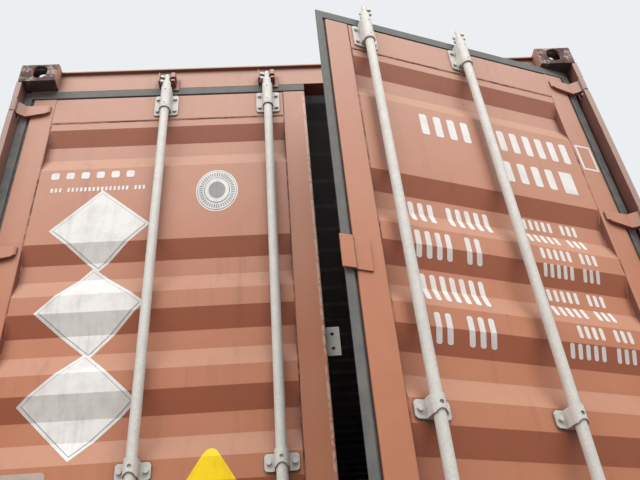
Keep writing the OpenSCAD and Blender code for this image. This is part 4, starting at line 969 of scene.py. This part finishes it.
class CONTAINER_OT_stage(ContainerStep, Operator):
    """Lays the floor, and hangs the lights and the camera"""

    bl_idname = "container.stage"
    bl_label = "Set the stage"

    def execute(self, context):
        scene, form = context.scene, context.scene.container_stage
        self.floor(scene, form)
        self.sky(scene, form)
        lamps = (  # name, share of the key light's power, size, place, target
            ("key_light", 1.0, form.end_lamp, (10.5, 0.0, 7.5), (6.0, 0.0, 1.4)),
            ("roof_light", 0.6, form.roof_lamp, (0.0, 0.0, 9.0), (0.0, 0.0, 0.0)),
            ("blind_end_light", 0.4, form.end_lamp, (-10.5, 0.0, 6.5), (-6.0, 0.0, 1.2)),
        )
        for name, part, *rest in lamps:
            self.lamp(scene, name, form.key * part, *rest)
        self.camera(scene, form)
        scene.view_settings.view_transform = "Standard"
        return {"FINISHED"}

    def floor(self, scene, form):
        """Disc of points at equal turns about the origin."""
        turn = np.linspace(0, 2 * math.pi, 96, endpoint=False)
        rim = np.stack([np.cos(turn), np.sin(turn), np.zeros_like(turn)], axis=1) * form.radius
        mesh = bpy.data.meshes.new("studio_floor")
        mesh.from_pydata(rim.tolist(), [], [list(range(len(rim)))])
        mesh.materials.append(self.pale(form))
        floor = bpy.data.objects.new("studio_floor", mesh)
        scene.collection.objects.link(floor)

    @staticmethod
    def pale(form):
        """Pale to the camera and in reflections, darker for the light that it gives back, and
        dissolved into the backdrop by its distance from the middle."""
        finish = Finish("studio_floor", roughness=0.9)
        seen = finish.seen()
        finish.drive(base_color=finish.mix(seen, form.bounce, form.floor))
        away = finish.add(
            "ShaderNodeVectorMath", {"operation": "LENGTH"}, {0: finish.place()}, output="Value")
        finish.dissolve(seen * away.ramp(form.near, form.far))
        return finish.material

    @staticmethod
    def sky(scene, form):
        """Even light all round, which the camera sees as the pale backdrop."""
        world = scene.world or bpy.data.worlds.new("studio")
        scene.world = world
        nodes = Nodes(world)
        lit = nodes.add("ShaderNodeBackground", None, {"Color": (1, 1, 1), "Strength": form.fill})
        shown = nodes.add("ShaderNodeBackground", None, {"Color": form.floor})
        both = nodes.add("ShaderNodeMixShader", None, {0: nodes.seen(), 1: lit, 2: shown})
        nodes.add("ShaderNodeOutputWorld", None, {"Surface": both})

    @staticmethod
    def lamp(scene, name, power, size, place, target):
        """Area light that looks at a target, its width level."""
        data = bpy.data.lights.new(name, "AREA")
        data.shape = "RECTANGLE"
        data.energy, (data.size, data.size_y) = power, size
        lamp = bpy.data.objects.new(name, data)
        scene.collection.objects.link(lamp)
        lamp.location = place
        lamp.rotation_euler = (Vector(target) - Vector(place)).to_track_quat("-Z", "Y").to_euler()

    @staticmethod
    def camera(scene, form):
        """Camera whose right, up and back directions are the columns of its turn."""
        data = bpy.data.cameras.new("camera")
        data.lens, data.sensor_width = form.lens, form.sensor
        camera = bpy.data.objects.new("camera", data)
        scene.collection.objects.link(camera)
        back = -Vector(form.ahead).normalized()
        right = Vector(form.up).cross(back).normalized()
        turn = Matrix((right, back.cross(right), back)).transposed()
        camera.matrix_world = Matrix.Translation(form.eye) @ turn.to_4x4()
        scene.camera = camera


class CONTAINER_PT_steps(Panel):
    """Lists the steps that dress the container"""

    bl_label = "Container"
    bl_idname = "CONTAINER_PT_steps"
    bl_space_type = "VIEW_3D"
    bl_region_type = "UI"
    bl_category = "Container"

    def draw(self, context):
        for step in STEPS:
            self.layout.operator(step.bl_idname)
        for name, group in GROUPS.items():
            settings = getattr(context.scene, name)
            box = self.layout.box()
            box.label(text=group.__doc__)
            for prop in group.__annotations__:
                box.prop(settings, prop)


GROUPS = {
    "container_doors": DoorForm,
    "container_shell": ShellForm,
    "container_paint": PaintLook,
    "container_steel": SteelLook,
    "container_soft": SoftLook,
    "container_marks": MarkForm,
    "container_seams": SeamForm,
    "container_stage": StageForm,
}
STEPS = (
    CONTAINER_OT_paint, CONTAINER_OT_castings, CONTAINER_OT_bar_gear, CONTAINER_OT_rubber,
    CONTAINER_OT_boards, CONTAINER_OT_seams, CONTAINER_OT_right_marks, CONTAINER_OT_left_labels,
    CONTAINER_OT_stage,
)


def register():
    """Adds the groups of properties, the steps and the panel."""
    for group in GROUPS.values():
        bpy.utils.register_class(group)
    for name, group in GROUPS.items():
        setattr(bpy.types.Scene, name, PointerProperty(type=group))
    for step in (*STEPS, CONTAINER_PT_steps):
        bpy.utils.register_class(step)


def unregister():
    """Takes away what register added."""
    for step in (CONTAINER_PT_steps, *reversed(STEPS)):
        bpy.utils.unregister_class(step)
    for name, group in reversed(GROUPS.items()):
        delattr(bpy.types.Scene, name)
        bpy.utils.unregister_class(group)


def main():
    """Dresses the container: registers the groups, steps and panel, and runs each step."""
    register()
    for step in STEPS:
        group, action = step.bl_idname.split(".")
        getattr(getattr(bpy.ops, group), action)()


if __name__ == "__main__":
    main()
